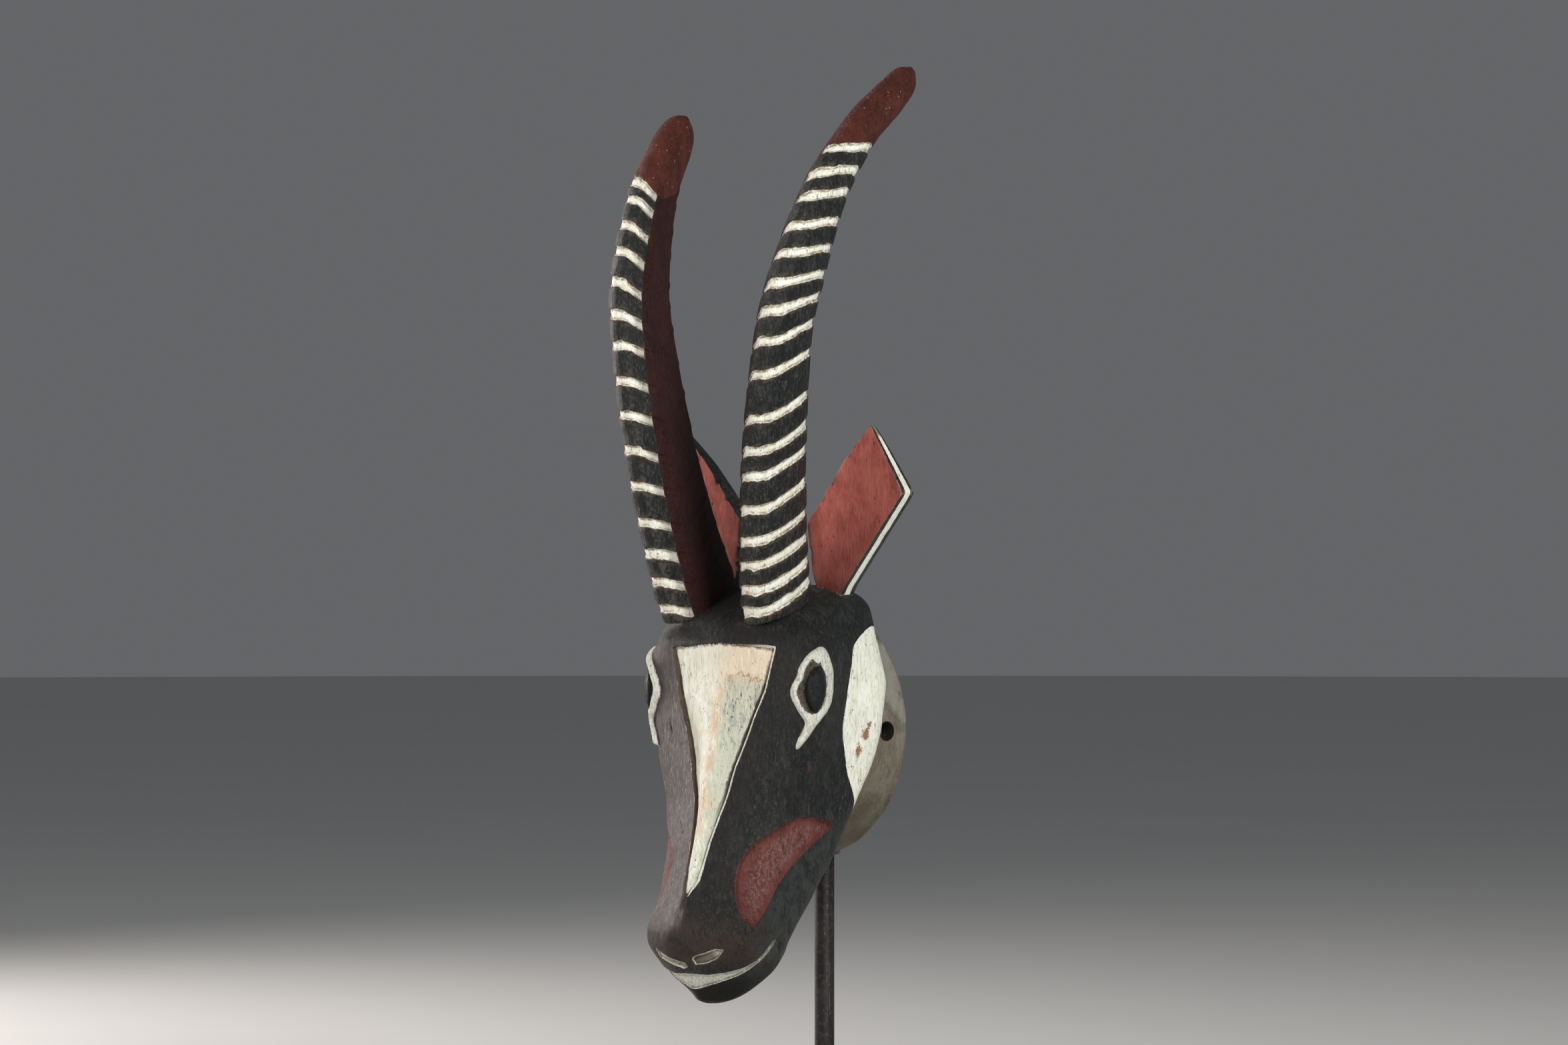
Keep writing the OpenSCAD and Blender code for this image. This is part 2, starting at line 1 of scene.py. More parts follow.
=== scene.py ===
"""Looks of a painted antelope mask on its display rod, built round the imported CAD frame.

The carved pieces are drawn in the mask's own frame, in millimetres: X = 0 is its middle plane,
Y = 0 its forehead and Z = 0 the underside of its lower lip. to_row() takes them to the row frame.
"""

import math
from collections import namedtuple
from functools import reduce

import bpy
import numpy as np
from mathutils import Matrix, Vector, kdtree


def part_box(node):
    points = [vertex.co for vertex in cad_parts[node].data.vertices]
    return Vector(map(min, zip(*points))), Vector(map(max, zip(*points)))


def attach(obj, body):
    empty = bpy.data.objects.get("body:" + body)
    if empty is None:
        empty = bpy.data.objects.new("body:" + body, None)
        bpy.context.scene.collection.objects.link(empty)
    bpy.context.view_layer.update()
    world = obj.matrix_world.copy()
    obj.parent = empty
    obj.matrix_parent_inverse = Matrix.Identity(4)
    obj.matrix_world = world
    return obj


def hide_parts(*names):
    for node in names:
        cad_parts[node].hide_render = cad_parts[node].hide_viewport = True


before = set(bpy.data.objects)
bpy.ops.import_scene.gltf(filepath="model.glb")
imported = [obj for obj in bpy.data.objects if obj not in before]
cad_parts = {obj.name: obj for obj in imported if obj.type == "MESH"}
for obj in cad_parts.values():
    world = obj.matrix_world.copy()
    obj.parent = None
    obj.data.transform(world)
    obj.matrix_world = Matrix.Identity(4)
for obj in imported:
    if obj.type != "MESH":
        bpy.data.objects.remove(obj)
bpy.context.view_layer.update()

SIDES = {1: "right", -1: "left"}
SETBACK = 117.0  # rod axis to forehead plane
CHIN = 103.0  # table to lower lip
FAR = 40.0  # what a distance field holds where its feature isn't

# ---------------------------------------------------------------- shape tables, as in the CAD

# height, then six points of half of that level's outline, from the middle of the front
HEAD = [
    (0, (0, -14), (2, -13), (4, -10), (4, -8), (3, -5), (0, -4)),
    (2, (0, -21), (5, -18), (10, -12), (12, -7), (9, 0), (0, 2)),
    (8, (0, -28), (8, -22.5), (17, -11), (21, -3), (18, 6), (0, 8)),
    (20, (0, -36), (13, -33), (27, -20.5), (32, -3), (30, 14), (0, 17)),
    (31, (0, -38), (17, -37.5), (34, -26), (37.5, -4), (35, 19.5), (0, 23)),
    (37, (0, -40), (17, -39.5), (37, -27.5), (38.5, -2), (36, 22), (0, 27)),
    (43, (0, -42), (16, -41), (38, -28), (40, 0), (37.5, 24.5), (0, 31)),
    (51, (0, -42.5), (14, -41), (38, -27), (41, 2), (39, 30), (0, 38)),
    (69, (0, -40), (10, -36), (39, -16), (44, 10), (45, 39), (0, 56)),
    (89, (0, -35), (8, -29), (41, -7), (48, 18), (51, 49), (0, 77)),
    (105, (0, -30.5), (8, -24), (43, -1.5), (51.5, 25), (55, 56), (0, 82)),
    (128, (0, -24), (11, -15), (47.5, 5.5), (56.5, 34), (61, 63.5), (0, 86)),
    (151, (0, -17.5), (16, -9), (53.5, 7.5), (62, 42), (65, 75), (0, 88)),
    (169, (0, -12.5), (21, -5.5), (57.5, 9), (65, 43), (68, 80), (0, 88)),
    (184, (0, -8.5), (26, -3.5), (61, 10), (66, 44), (69, 82), (0, 88)),
    (204, (0, -4.5), (32, -1), (62, 12), (67, 46), (70, 84), (0, 88)),
    (218, (0, -2.5), (36, 1), (63, 10), (67, 45), (67, 84), (0, 88)),
    (232, (0, -1), (38, 2), (58, 12), (66, 45), (63, 84), (0, 88)),
    (244, (0, 1.5), (28, -4.5), (51, 13), (62, 50), (60, 84), (0, 90)),
    (256, (0, 12), (26, 11), (48, 26), (58, 62), (52, 88), (0, 96)),
    (264, (0, 27), (18, 28), (36, 38), (46, 66), (38, 88), (0, 95)),
    (267.5, (0, 44), (10, 45), (20, 52), (26, 66), (18, 84), (0, 88)),
]
# the sunk forehead panel, as X and Z
PANEL = [(0, 231.5), (20, 230.5), (40.2, 228.3), (34.4, 201), (27.6, 183.5), (22, 167.5),
         (16.8, 152), (13.4, 134), (10.2, 119.6), (8, 104), (6.8, 91.5), (6, 79), (2, 70.5),
         (-1, 70.5), (-2.4, 77.5), (-3.7, 94), (-5.5, 109), (-9.4, 126), (-13, 137),
         (-16.4, 147), (-21.6, 167), (-27.8, 184), (-33.5, 201), (-38, 219.5), (-40.4, 228)]
# an eye's raised ring and its ball, across and up in the eye's own plane
EYE_OUTER = [(6.5, 28), (10.5, 25), (13, 18.5), (15.5, 11), (15.5, 2), (14, -8), (10.5, -14),
             (5.5, -19.5), (1.5, -24), (-1, -28), (-4.5, -32.5), (-9, -38), (-11.5, -38.5),
             (-10.5, -32.5), (-6.5, -25), (-5.5, -20.5), (-9, -16), (-13, -8), (-15, -2),
             (-13.5, 4), (-11, 8), (-10, 14), (-6, 20.5), (0, 25.5)]
EYE_INNER = [(2.5, 16), (6.5, 13.5), (9, 7.5), (9, 1), (8, -5), (5, -12), (1, -16),
             (-1.5, -13.5), (-4.5, -7.5), (-5.5, 0), (-5, 6.5), (-2, 12.5)]
EYE_CENTRE, EYE_TURN = (62, 14, 201.5), math.radians(46)
# the red crescent's cut edge and its lower edge, as Y and Z
CRESCENT_UPPER = [(42, 115.5), (34, 118.3), (21, 119.6), (11, 118.8), (3, 114.7),
                  (-3.5, 109.3), (-9.3, 104.2), (-14.2, 97), (-18.4, 89), (-22, 79),
                  (-25.3, 67), (-27, 56)]
CRESCENT_LOWER = [(-22, 50.3), (-15, 55.4), (-7, 65), (0, 76), (7.5, 84.3), (17, 92.4),
                  (29, 102), (38, 110)]
# the nostrils, right and left, as X and Z, and the mouth, as Y and Z
NOSTRILS = [[(3.6, 30.3), (6.4, 26.2), (15.1, 27.6), (22.5, 31), (27.8, 36.8), (22, 37.4),
             (15, 34.6), (7, 32.6)],
            [(-27.4, 36.9), (-23.9, 34.8), (-13.7, 30.2), (-1.8, 27.2), (0.4, 24.6),
             (-3.3, 23.4), (-13.2, 25.9), (-24.3, 29.6)]]
MOUTH = [(-60, -14.9), (3, 37.4), (5, 41.5), (4, 42.3), (-4, 34.9), (-12, 28.7),
         (-20, 24.5), (-28, 21.3), (-33, 20), (-37, 20.5), (-60, 20.5)]
# cream leaf painted on each cheek, as points of Y and Z
LEAF = [(74, 242), (63, 237), (56, 232.5), (51, 227), (50, 219.5), (48, 208.5), (46, 197),
        (44, 187), (42.4, 176), (44.5, 167), (47.4, 156.5), (50.5, 145), (54, 134), (58, 125.5),
        (63, 119), (71, 121), (85, 135), (110, 150), (110, 235), (82, 240)]
# rusty patches on the cheek, as Y, Z and radius
RUST = [(61, 171, 1.8), (57, 161, 2.4), (63.5, 178, 1.0), (53, 151, 1.2), (37, 192, 1.2),
        (16, 150, 1.6), (39, 141, 1.0), (103, 157, 2.0)]
# drying cracks in the left side of the face, as X and Z
CRACKS = [[(-23.5, 115.5), (-18, 108), (-17.3, 100)], [(-41, 181), (-39, 172), (-37.5, 166)]]
# depths of what is carved into the head, and how far the eye's ring stands out
PANEL_DEPTH, PANEL_TROUGH, CRESCENT_DEPTH = 2.9, 0.7, 1.7
NOSTRIL_DEPTH, MOUTH_DEPTH, CRACK_DEPTH, EYE_RISE = 2.0, 1.9, 0.7, 3.4

# height, the middle's X and Y, width and depth, then the same for each horn's own upper end
HORN = [(232, 27, 30, 33, 46), (259, 31.5, 17, 36, 63), (302, 38, 4.5, 35, 60),
        (359, 46.5, -6, 34.5, 54), (430, 56.5, -10, 32, 46.5), (463, 62, -5, 31, 43.5),
        (520, 69, 18, 27.5, 34)]
HORN_ENDS = {
    1: [(548, 72.5, 39, 24.5, 28.5), (564, 74, 55, 22.5, 27), (582, 76.5, 79, 20, 25),
        (595, 78.2, 95, 16, 20), (600.5, 78.8, 101.5, 7, 9)],
    -1: [(543, 70.5, 33.5, 25, 29), (556, 72, 45, 23, 27), (565, 73, 53.5, 20, 22),
         (571, 73.5, 59.5, 13, 14), (573.5, 73.7, 62, 6, 6.5)],
}
# heights of the rings' fronts
RINGS = {
    1: [249.5, 264.5, 280.5, 296.5, 316, 337, 353.5, 374, 402.5, 423, 443, 461.5, 479.5, 497,
        516.5, 532.5, 547.5],
    -1: [250.5, 269, 287.5, 308, 331.5, 354.5, 377.5, 400, 422.5, 443, 464.5, 484, 501.5,
         518.5, 531.5],
}
RING_WIDTH, RING_DEPTH = 5.6, 1.8
RING_RISE, RING_DROP = 17.0, 7.5  # how far a ring climbs to its outer side and sinks on its inner
# the section's corners: across and back in half sizes, share of a ring's depth, share of its climb
HORN_SECTION = [
    (-0.29, -1.00, 1, -0.2), (0.08, -1.04, 1, 0.01), (0.36, -1.01, 1, 0.02),
    (0.68, -0.82, 1, 0.14), (0.88, -0.55, 1, 0.34), (0.99, -0.22, 1, 0.55),
    (1.00, 0.12, 1, 0.74), (0.88, 0.48, 1, 0.89), (0.62, 0.76, 1, 0.97),
    (0.26, 0.95, 1, 1), (-0.16, 1.03, 0.8, 1), (-0.52, 1.00, 0, 0.9),
    (-0.76, 0.84, 0, 0.5), (-0.86, 0.48, 0, 0), (-0.88, 0.10, 0, -0.7),
    (-0.94, -0.26, 0, -1.3), (-0.98, -0.40, 0, -1.4), (-0.78, -0.66, 0.9, -1),
]
# a horn's inner face is red from this corner on, to one that shifts with height
HORN_RED_FROM = 10.6
HORN_RED_TO = [(232, 17.25), (300, 17.1), (430, 16.9), (520, 16.5), (600, 16.2)]
HORN_FOOT, HORN_FOOT_TILT = (-8, 244.2), math.radians(19.3)
HORN_GAP = 0.00012  # metres by which a horn clears the head, forwards and upwards

# an ear's corners, as X and Z
EAR = [(76, 371.4), (100.5, 328), (98.5, 324.5), (55.5, 267), (50, 257), (37, 257), (30, 276),
       (25.5, 307), (55, 348)]
EAR_MIDDLE, EAR_FRONT, EAR_THICK = (58, 305), 59.0, 16.0

# upright round tenon of a horn or an ear, and the level dowel through it
Tenon = namedtuple("Tenon", "x y radius low high sides peg_z peg_radius peg_from peg_to")
HORN_TENON = Tenon(31, 19, 10.0, 216.5, 276, 48, 224, 3.0, 8, 57)
EAR_TENON = Tenon(45, 65.5, 5.0, 240.5, 274, 40, 255, 2.0, 56, 89.5)
TENON_GAP, PEG_GAP, BOTTOM_GAP = 0.1, 0.05, 0.5  # round a tenon, round a dowel, under a tenon

RIM_Z, RIM_BACK, RIM_HOLE = 174, 106, (87, 173)
RIM_HOLE_RADIUS = {1: 6, -1: 5.5}
HOLLOW = (62, 95, 73)  # half sizes of the hollow behind the face
SEAT_Y, SEAT_Z, SEAT_RADIUS = 72, 244, 9  # flat seat for the hanger's felt washer
PIN_BORE, PIN_BORE_DEPTH = 3.2, 12


# ---------------------------------------------------------------- numbers

def to_row(points):
    """Mask frame in millimetres to the row frame in metres."""
    return (np.asarray(points, float) + (0, -SETBACK, CHIN)) * 0.001


def smooth(low, high, value):
    t = np.clip((value - low) / (high - low), 0, 1)
    return t * t * (3 - 2 * t)


def spline(a, b, c, d, u):
    return 0.5 * (2 * b + (c - a) * u + (2 * a - 5 * b + 4 * c - d) * u * u
                  + (3 * b - a - 3 * c + d) * u ** 3)


def hashed(ix, iy, iz, seed):
    """One number from -1 to 1 for each cell of a lattice, by mixing the bits of its place."""
    h = (ix * 73856093) ^ (iy * 19349663) ^ (iz * 83492791) ^ (seed * 2654435761)
    h = (h ^ (h >> 13)) * 1274126177 & 0xFFFFFFFF
    h = (h ^ (h >> 16)) * 2246822519 & 0xFFFFFFFF
    return ((h ^ (h >> 15)) & 0xFFFFFF) / 8388608.0 - 1


def noise(points, size, seed, octaves=1):
    """Smooth noise, about -1 to 1, with features of that size. size may be one per axis."""
    total, gain = 0.0, 1.0
    p = np.asarray(points, float) / np.asarray(size, float)
    for octave in range(octaves):
        cell = np.floor(p).astype(np.int64)
        w = p - cell
        w = w * w * (3 - 2 * w)
        value = 0.0
        for dx in (0, 1):
            for dy in (0, 1):
                for dz in (0, 1):
                    share = (np.abs(1 - dx - w[:, 0]) * np.abs(1 - dy - w[:, 1])
                             * np.abs(1 - dz - w[:, 2]))
                    value = value + share * hashed(
                        cell[:, 0] + dx, cell[:, 1] + dy, cell[:, 2] + dz, seed + 17 * octave)
        total = total + gain * value
        gain *= 0.5
        p = p * 2.03 + 5.7
    return total


def line_distance(px, py, line):
    """Distance to an open line of points."""
    best = np.full(px.shape, 1e9)
    for (ax, ay), (bx, by) in zip(line[:-1], line[1:]):
        ex, ey = bx - ax, by - ay
        t = np.clip(((px - ax) * ex + (py - ay) * ey) / (ex * ex + ey * ey), 0, 1)
        best = np.minimum(best, np.hypot(px - ax - t * ex, py - ay - t * ey))
    return best


def outline_distance(px, py, outline):
    """Signed distance to a closed outline, negative inside."""
    away = line_distance(px, py, list(outline) + [outline[0]])
    inside = np.zeros(px.shape, bool)
    for (ax, ay), (bx, by) in zip(outline, outline[1:] + outline[:1]):
        crosses = (ay > py) != (by > py)
        at = ax + (py - ay) * (bx - ax) / (by - ay if by != ay else 1e-9)
        inside ^= crosses & (px < at)
    return np.where(inside, -away, away)


def rounded(outline, rounds=2):
    """An outline with its corners cut off, again and again."""
    points = np.array(outline, float)
    for _ in range(rounds):
        after = np.roll(points, -1, 0)
        points = np.stack([0.75 * points + 0.25 * after, 0.25 * points + 0.75 * after], 1)
        points = points.reshape(-1, 2)
    return [tuple(p) for p in points]


# ---------------------------------------------------------------- meshes

def tube_faces(rows, count):
    """Quads between closed loops of equal point counts, with both ends closed by one face."""
    j, i = np.meshgrid(np.arange(rows - 1), np.arange(count), indexing="ij")
    a, b = j * count + i, j * count + (i + 1) % count
    quads = np.stack([a, b, b + count, a + count], -1).reshape(-1, 4).tolist()
    ends = [list(range(count - 1, -1, -1)),
            list(range((rows - 1) * count, rows * count))]
    return quads + ends


def signed_volume(points, faces):
    total = 0.0
    for f in faces:
        a = points[f[0]]
        for k in range(1, len(f) - 1):
            total += np.dot(a, np.cross(points[f[k]], points[f[k + 1]]))
    return total


def mesh_object(name, points, faces, materials=(), index=0):
    """A mesh object in the row frame from points of the mask frame, all in one material."""
    if signed_volume(np.asarray(points), faces) < 0:
        faces = [f[::-1] for f in faces]
    mesh = bpy.data.meshes.new(name)
    mesh.from_pydata(to_row(points).tolist(), [], faces)
    mesh.update()
    for material in materials:
        mesh.materials.append(material)
    mesh.polygons.foreach_set("material_index", [index] * len(mesh.polygons))
    obj = bpy.data.objects.new(name, mesh)
    bpy.context.scene.collection.objects.link(obj)
    return obj


def loops_object(name, loops, materials=(), index=0):
    loops = np.asarray(loops, float)
    rows, count = loops.shape[:2]
    return mesh_object(name, loops.reshape(-1, 3), tube_faces(rows, count), materials, index)


def rod_object(start, end, radius, sides=48, materials=(), index=0):
    """A capped round bar between two points, used as a cutter or a tenon."""
    start, end = np.array(start, float), np.array(end, float)
    ahead = (end - start) / np.linalg.norm(end - start)
    across = np.cross(ahead, (0, 0, 1) if abs(ahead[2]) < 0.9 else (1, 0, 0))
    across /= np.linalg.norm(across)
    up = np.cross(ahead, across)
    turn = np.arange(sides) * 2 * math.pi / sides
    ring = radius * (np.cos(turn)[:, None] * across + np.sin(turn)[:, None] * up)
    return loops_object("bar", [start + ring, end + ring], materials, index)


def combine(obj, other, operation):
    """Boolean of two closed meshes, applied to obj. The other object is removed."""
    modifier = obj.modifiers.new("combine", "BOOLEAN")
    modifier.operation = operation
    modifier.solver = "MANIFOLD"
    modifier.object = other
    graph = bpy.context.evaluated_depsgraph_get()
    made = bpy.data.meshes.new_from_object(obj.evaluated_get(graph))
    obj.modifiers.clear()
    old = obj.data
    obj.data = made
    bpy.data.meshes.remove(old)
    bpy.data.objects.remove(other)
    return obj


def read(items, key, kind=np.float32, width=1):
    """One property of all of a mesh's items."""
    values = np.zeros(len(items) * width, kind)
    items.foreach_get(key, values)
    return values


def points_of(obj):
    return read(obj.data.vertices, "co", width=3).reshape(-1, 3).astype(float)


def set_field(obj, name, values):
    attribute = obj.data.attributes.new(name, "FLOAT", "POINT")
    attribute.data.foreach_set("value", np.asarray(values, np.float32))


def carry_fields(obj, rest, fields, reach=0.0004):
    """Gives obj's vertices the fields of the rest points they lie on, or FAR."""
    tree = kdtree.KDTree(len(rest))
    for k, p in enumerate(rest):
        tree.insert(p, k)
    tree.balance()
    found = [tree.find(p) for p in points_of(obj)]
    index = np.array([f[1] for f in found])
    near = np.array([f[2] for f in found]) < reach
    for name, values in fields.items():
        set_field(obj, name, np.where(near, values[index], FAR))


def cut_by_head(obj, blank, shift=(0, 0, 0)):
    """Cuts away where the uncut head would be, moved by shift metres."""
    cutter = blank.copy()
    cutter.data = blank.data.copy()
    cutter.data.transform(Matrix.Translation(shift))
    bpy.context.scene.collection.objects.link(cutter)
    combine(obj, cutter, "DIFFERENCE")


def cut_bar(obj, start, end, radius, sides=32, index=0):
    materials = list(obj.data.materials)
    combine(obj, rod_object(start, end, radius, sides, materials, index), "DIFFERENCE")


def add_tenon(obj, side, tenon, bore_from, bore_to, paint):
    """Gives a piece its round tenon, bored for the dowel."""
    x, y = side * tenon.x, tenon.y
    bar = rod_object((x, y, tenon.low), (x, y, tenon.high), tenon.radius, tenon.sides, [paint])
    cut_bar(bar, (x, bore_from, tenon.peg_z), (x, bore_to, tenon.peg_z), tenon.peg_radius + PEG_GAP)
    combine(obj, bar, "UNION")


def cut_socket(obj, side, tenon, sides):
    """Bores the head for a tenon and its dowel."""
    x, y = side * tenon.x, tenon.y
    cut_bar(obj, (x, y, tenon.low - BOTTOM_GAP), (x, y, 300), tenon.radius + TENON_GAP, sides)
    cut_bar(obj, (x, tenon.peg_from, tenon.peg_z), (x, tenon.peg_to + 20, tenon.peg_z),
            tenon.peg_radius + PEG_GAP)


def bend_field(obj, rounds=3):
    """How convex the mesh is at each vertex: positive on edges, negative in hollows."""
    mesh = obj.data
    co = points_of(obj)
    a, b = read(mesh.edges, "vertices", np.int64, 2).reshape(-1, 2).T
    count = np.bincount(np.r_[a, b], minlength=len(co)).clip(1)[:, None]

    def around(values):
        total = np.zeros_like(values)
        np.add.at(total, a, values[b])
        np.add.at(total, b, values[a])
        return total / count

    normal = read(mesh.vertex_normals, "vector", width=3).reshape(-1, 3)
    flat = co
    for _ in range(rounds):
        flat = around(flat)
    bend = ((co - flat) * normal).sum(1, keepdims=True) * 1000
    for _ in range(2):
        bend = 0.5 * bend + 0.5 * around(bend)
    set_field(obj, "bend", bend[:, 0])


def shade(obj, degrees):
    """Smooth shading, with edges of a larger angle left sharp."""
    obj.data.shade_smooth()
    obj.data.set_sharp_from_angle(angle=math.radians(degrees))


# ---------------------------------------------------------------- materials

class Paint:
    """A material's node tree, with short names for the nodes that it needs."""

    def __init__(self, name):
        self.material = bpy.data.materials.new(name)
        self.material.use_nodes = True
        self.tree = self.material.node_tree
        self.shader = self.tree.nodes["Principled BSDF"]
        place = self.tree.nodes.new("ShaderNodeTexCoord").outputs["Object"]
        self.mm = self.vector("SCALE", place, scale=1000.0)
        self.fields, self.axes = {}, None

    def put(self, socket, value):
        if isinstance(value, bpy.types.NodeSocket):
            self.tree.links.new(value, socket)
        else:
            if isinstance(value, tuple) and len(value) == 3 and socket.type == "RGBA":
                value = (*value, 1.0)
            socket.default_value = value

    def vector(self, operation, a, b=None, scale=None):
        node = self.tree.nodes.new("ShaderNodeVectorMath")
        node.operation = operation
        self.put(node.inputs[0], a)
        if b is not None:
            self.put(node.inputs[1], b)
        if scale is not None:
            self.put(node.inputs["Scale"], scale)
        return node.outputs[0]

    def math(self, operation, a, b=None, clamp=False):
        node = self.tree.nodes.new("ShaderNodeMath")
        node.operation, node.use_clamp = operation, clamp
        self.put(node.inputs[0], a)
        if b is not None:
            self.put(node.inputs[1], b)
        return node.outputs[0]

    def field(self, name):
        if name not in self.fields:
            node = self.tree.nodes.new("ShaderNodeAttribute")
            node.attribute_name = name
            self.fields[name] = node.outputs["Fac"]
        return self.fields[name]

    def axis(self, which):
        """X, Y or Z of the row frame, in millimetres."""
        if self.axes is None:
            node = self.tree.nodes.new("ShaderNodeSeparateXYZ")
            self.put(node.inputs[0], self.mm)
            self.axes = node.outputs
        return self.axes[which]

    def stretched(self, size, stretch):
        """The place in features of that size. A single stretch is along the height."""
        if not isinstance(stretch, tuple):
            stretch = (1, 1, stretch)
        return self.vector("MULTIPLY", self.mm, tuple(1.0 / (size * s) for s in stretch))

    def noise(self, size, detail=3.0, rough=0.55, stretch=1, warp=0.0, shift=0.0):
        """Noise of about that size in millimetres, from 0 to 1."""
        at = self.stretched(size, stretch)
        if shift:
            at = self.vector("ADD", at, (shift, shift * 1.7, shift * 0.6))
        node = self.tree.nodes.new("ShaderNodeTexNoise")
        self.put(node.inputs["Vector"], at)
        node.inputs["Scale"].default_value = 1.0
        node.inputs["Detail"].default_value = detail
        node.inputs["Roughness"].default_value = rough
        node.inputs["Distortion"].default_value = warp
        return node.outputs["Fac"]

    def step(self, value, low, high, to_low=0.0, to_high=1.0):
        """Soft step from to_low below low to to_high above high. low may be above high."""
        node = self.tree.nodes.new("ShaderNodeMapRange")
        node.interpolation_type = "SMOOTHSTEP"
        if low > high:
            low, high, to_low, to_high = high, low, to_high, to_low
        self.put(node.inputs["Value"], value)
        for key, number in zip(("From Min", "From Max", "To Min", "To Max"),
                               (low, high, to_low, to_high)):
            node.inputs[key].default_value = number
        return node.outputs["Result"]

    def mix(self, share, a, b, kind="RGBA"):
        node = self.tree.nodes.new("ShaderNodeMix")
        node.data_type = kind
        for key, value in (("Factor", share), ("A", a), ("B", b)):
            self.put(node.inputs[key], value)
        return node.outputs["Result"]

    def blend(self, share, a, b):
        """A number between a and b."""
        return self.mix(share, a, b, "FLOAT")

    def times(self, *values):
        return reduce(lambda a, b: self.math("MULTIPLY", a, b), values)

    def plus(self, *values):
        return reduce(lambda a, b: self.math("ADD", a, b), values)

    def sway(self, *noise, **options):
        """Noise about 0."""
        return self.math("SUBTRACT", self.noise(*noise, **options), 0.5)

    def spots(self, low, high, *noise, **options):
        """1 where a noise is above high, 0 where it is below low."""
        return self.step(self.noise(*noise, **options), low, high)

    def dots(self, low, high, size, stretch=1):
        """Small scattered dots, from the distance to their middles in cells of that size."""
        node = self.tree.nodes.new("ShaderNodeTexVoronoi")
        self.put(node.inputs["Vector"], self.stretched(size, stretch))
        node.inputs["Scale"].default_value = 1.0
        return self.step(node.outputs["Distance"], low, high)

    # soft steps along the mask's own axes, in its millimetres

    def right(self, low, high):
        return self.step(self.axis("X"), low, high)

    def back(self, low, high):
        return self.step(self.axis("Y"), low - SETBACK, high - SETBACK)

    def up(self, low, high):
        return self.step(self.axis("Z"), CHIN + low, CHIN + high)

    def on(self, field, low, high):
        return self.step(self.field(field), low, high)

    def ragged(self, distance, coarse, fine, shift):
        """A distance field with a hand-painted, uneven edge."""
        return self.plus(distance, self.times(self.sway(6, 2, shift=shift), coarse),
                         self.times(self.sway(1.1, 2, shift=shift + 3), fine))

    def edge(self, field, low, high, coarse, fine, shift):
        return self.step(self.ragged(self.field(field), coarse, fine, shift), low, high)

    # a coat is a colour, a roughness and a height

    def dab(self, color, paint, strength, *where):
        """Paint over a colour, as much as the strength where all masks are 1."""
        return self.mix(self.times(*where, strength), color, paint)

    def tint(self, coat, paint, strength, *where):
        return self.dab(coat[0], paint, strength, *where), coat[1], coat[2]

    def over(self, under, top, share, color=None, relief=False):
        """One coat over another, maybe in another colour. Only with relief does it add height."""
        height = self.blend(share, under[2], top[2]) if relief else under[2]
        return (self.mix(share, under[0], color or top[0]),
                self.blend(share, under[1], top[1]), height)

    def finish(self, color, rough, height, depth, **constants):
        """Wires the shader. height is in units of depth metres."""
        self.put(self.shader.inputs["Base Color"], color)
        self.put(self.shader.inputs["Roughness"], rough)
        bump = self.tree.nodes.new("ShaderNodeBump")
        bump.inputs["Strength"].default_value = 1.0
        bump.inputs["Distance"].default_value = depth
        self.put(bump.inputs["Height"], height)
        self.tree.links.new(bump.outputs["Normal"], self.shader.inputs["Normal"])
        for key, value in constants.items():
            self.shader.inputs[key.replace("_", " ")].default_value = value
        return self.material


def black_coat(p):
    """Charcoal paint over wood, with the hair lines of a coarse brush."""
    broad = p.noise(38, 3, warp=0.6)
    fine = p.noise(0.8, 4, 0.7, 6)
    mottle = p.noise(4.5, 5, 0.65, 2.2, shift=4)
    color = p.mix(p.step(broad, 0.38, 0.62), (0.0050, 0.0066, 0.0072), (0.0085, 0.0085, 0.0085))
    color = p.dab(color, (0.027, 0.028, 0.026), 0.8, p.step(mottle, 0.50, 0.64))
    # pale drag streaks: brush marks, and painted glints of the satin paint
    drag = p.noise(1.7, 5, 0.72, 3.5, warp=0.5, shift=28)
    color = p.dab(color, (0.058, 0.056, 0.050), 0.75, p.step(drag, 0.54, 0.63))
    color = p.dab(color, (0.0018, 0.0020, 0.0023), 0.8, p.step(drag, 0.47, 0.38))
    color = p.dab(color, (0.030, 0.029, 0.027), 0.5, p.step(fine, 0.54, 0.72))
    color = p.dab(color, (0.0020, 0.0023, 0.0026), 0.8, p.step(fine, 0.46, 0.3))
    gate = p.spots(0.44, 0.60, 9, 4, 0.6, shift=14)
    hairs = p.times(p.spots(0.56, 0.64, 1.0, 4, 0.65, 4.5, warp=0.8, shift=2), gate)
    color = p.dab(color, (0.125, 0.117, 0.102), 0.7, hairs)
    slant = p.times(p.spots(0.58, 0.65, 1.0, 4, 0.65, (3.5, 2.5, 1), warp=1.4, shift=19),
                    p.spots(0.44, 0.58, 13, 3, 0.6, shift=24))
    color = p.dab(color, (0.110, 0.103, 0.090), 0.65, slant)
    # pale specks: flecks in the paint, and painted glints
    specks_and_glints = p.times(p.dots(0.17, 0.08, 2.3, 1.6), p.spots(0.47, 0.62, 7, 3, shift=8))
    color = p.dab(color, (0.21, 0.20, 0.17), 0.7, specks_and_glints)
    rough = p.plus(p.blend(mottle, 0.30, 0.56), p.times(fine, 0.12))
    height = p.plus(p.times(fine, 0.7), p.times(drag, 1.4), p.times(mottle, 0.8),
                    p.times(specks_and_glints, 0.35), p.times(hairs, 0.35), p.times(slant, 0.35))
    return color, rough, height


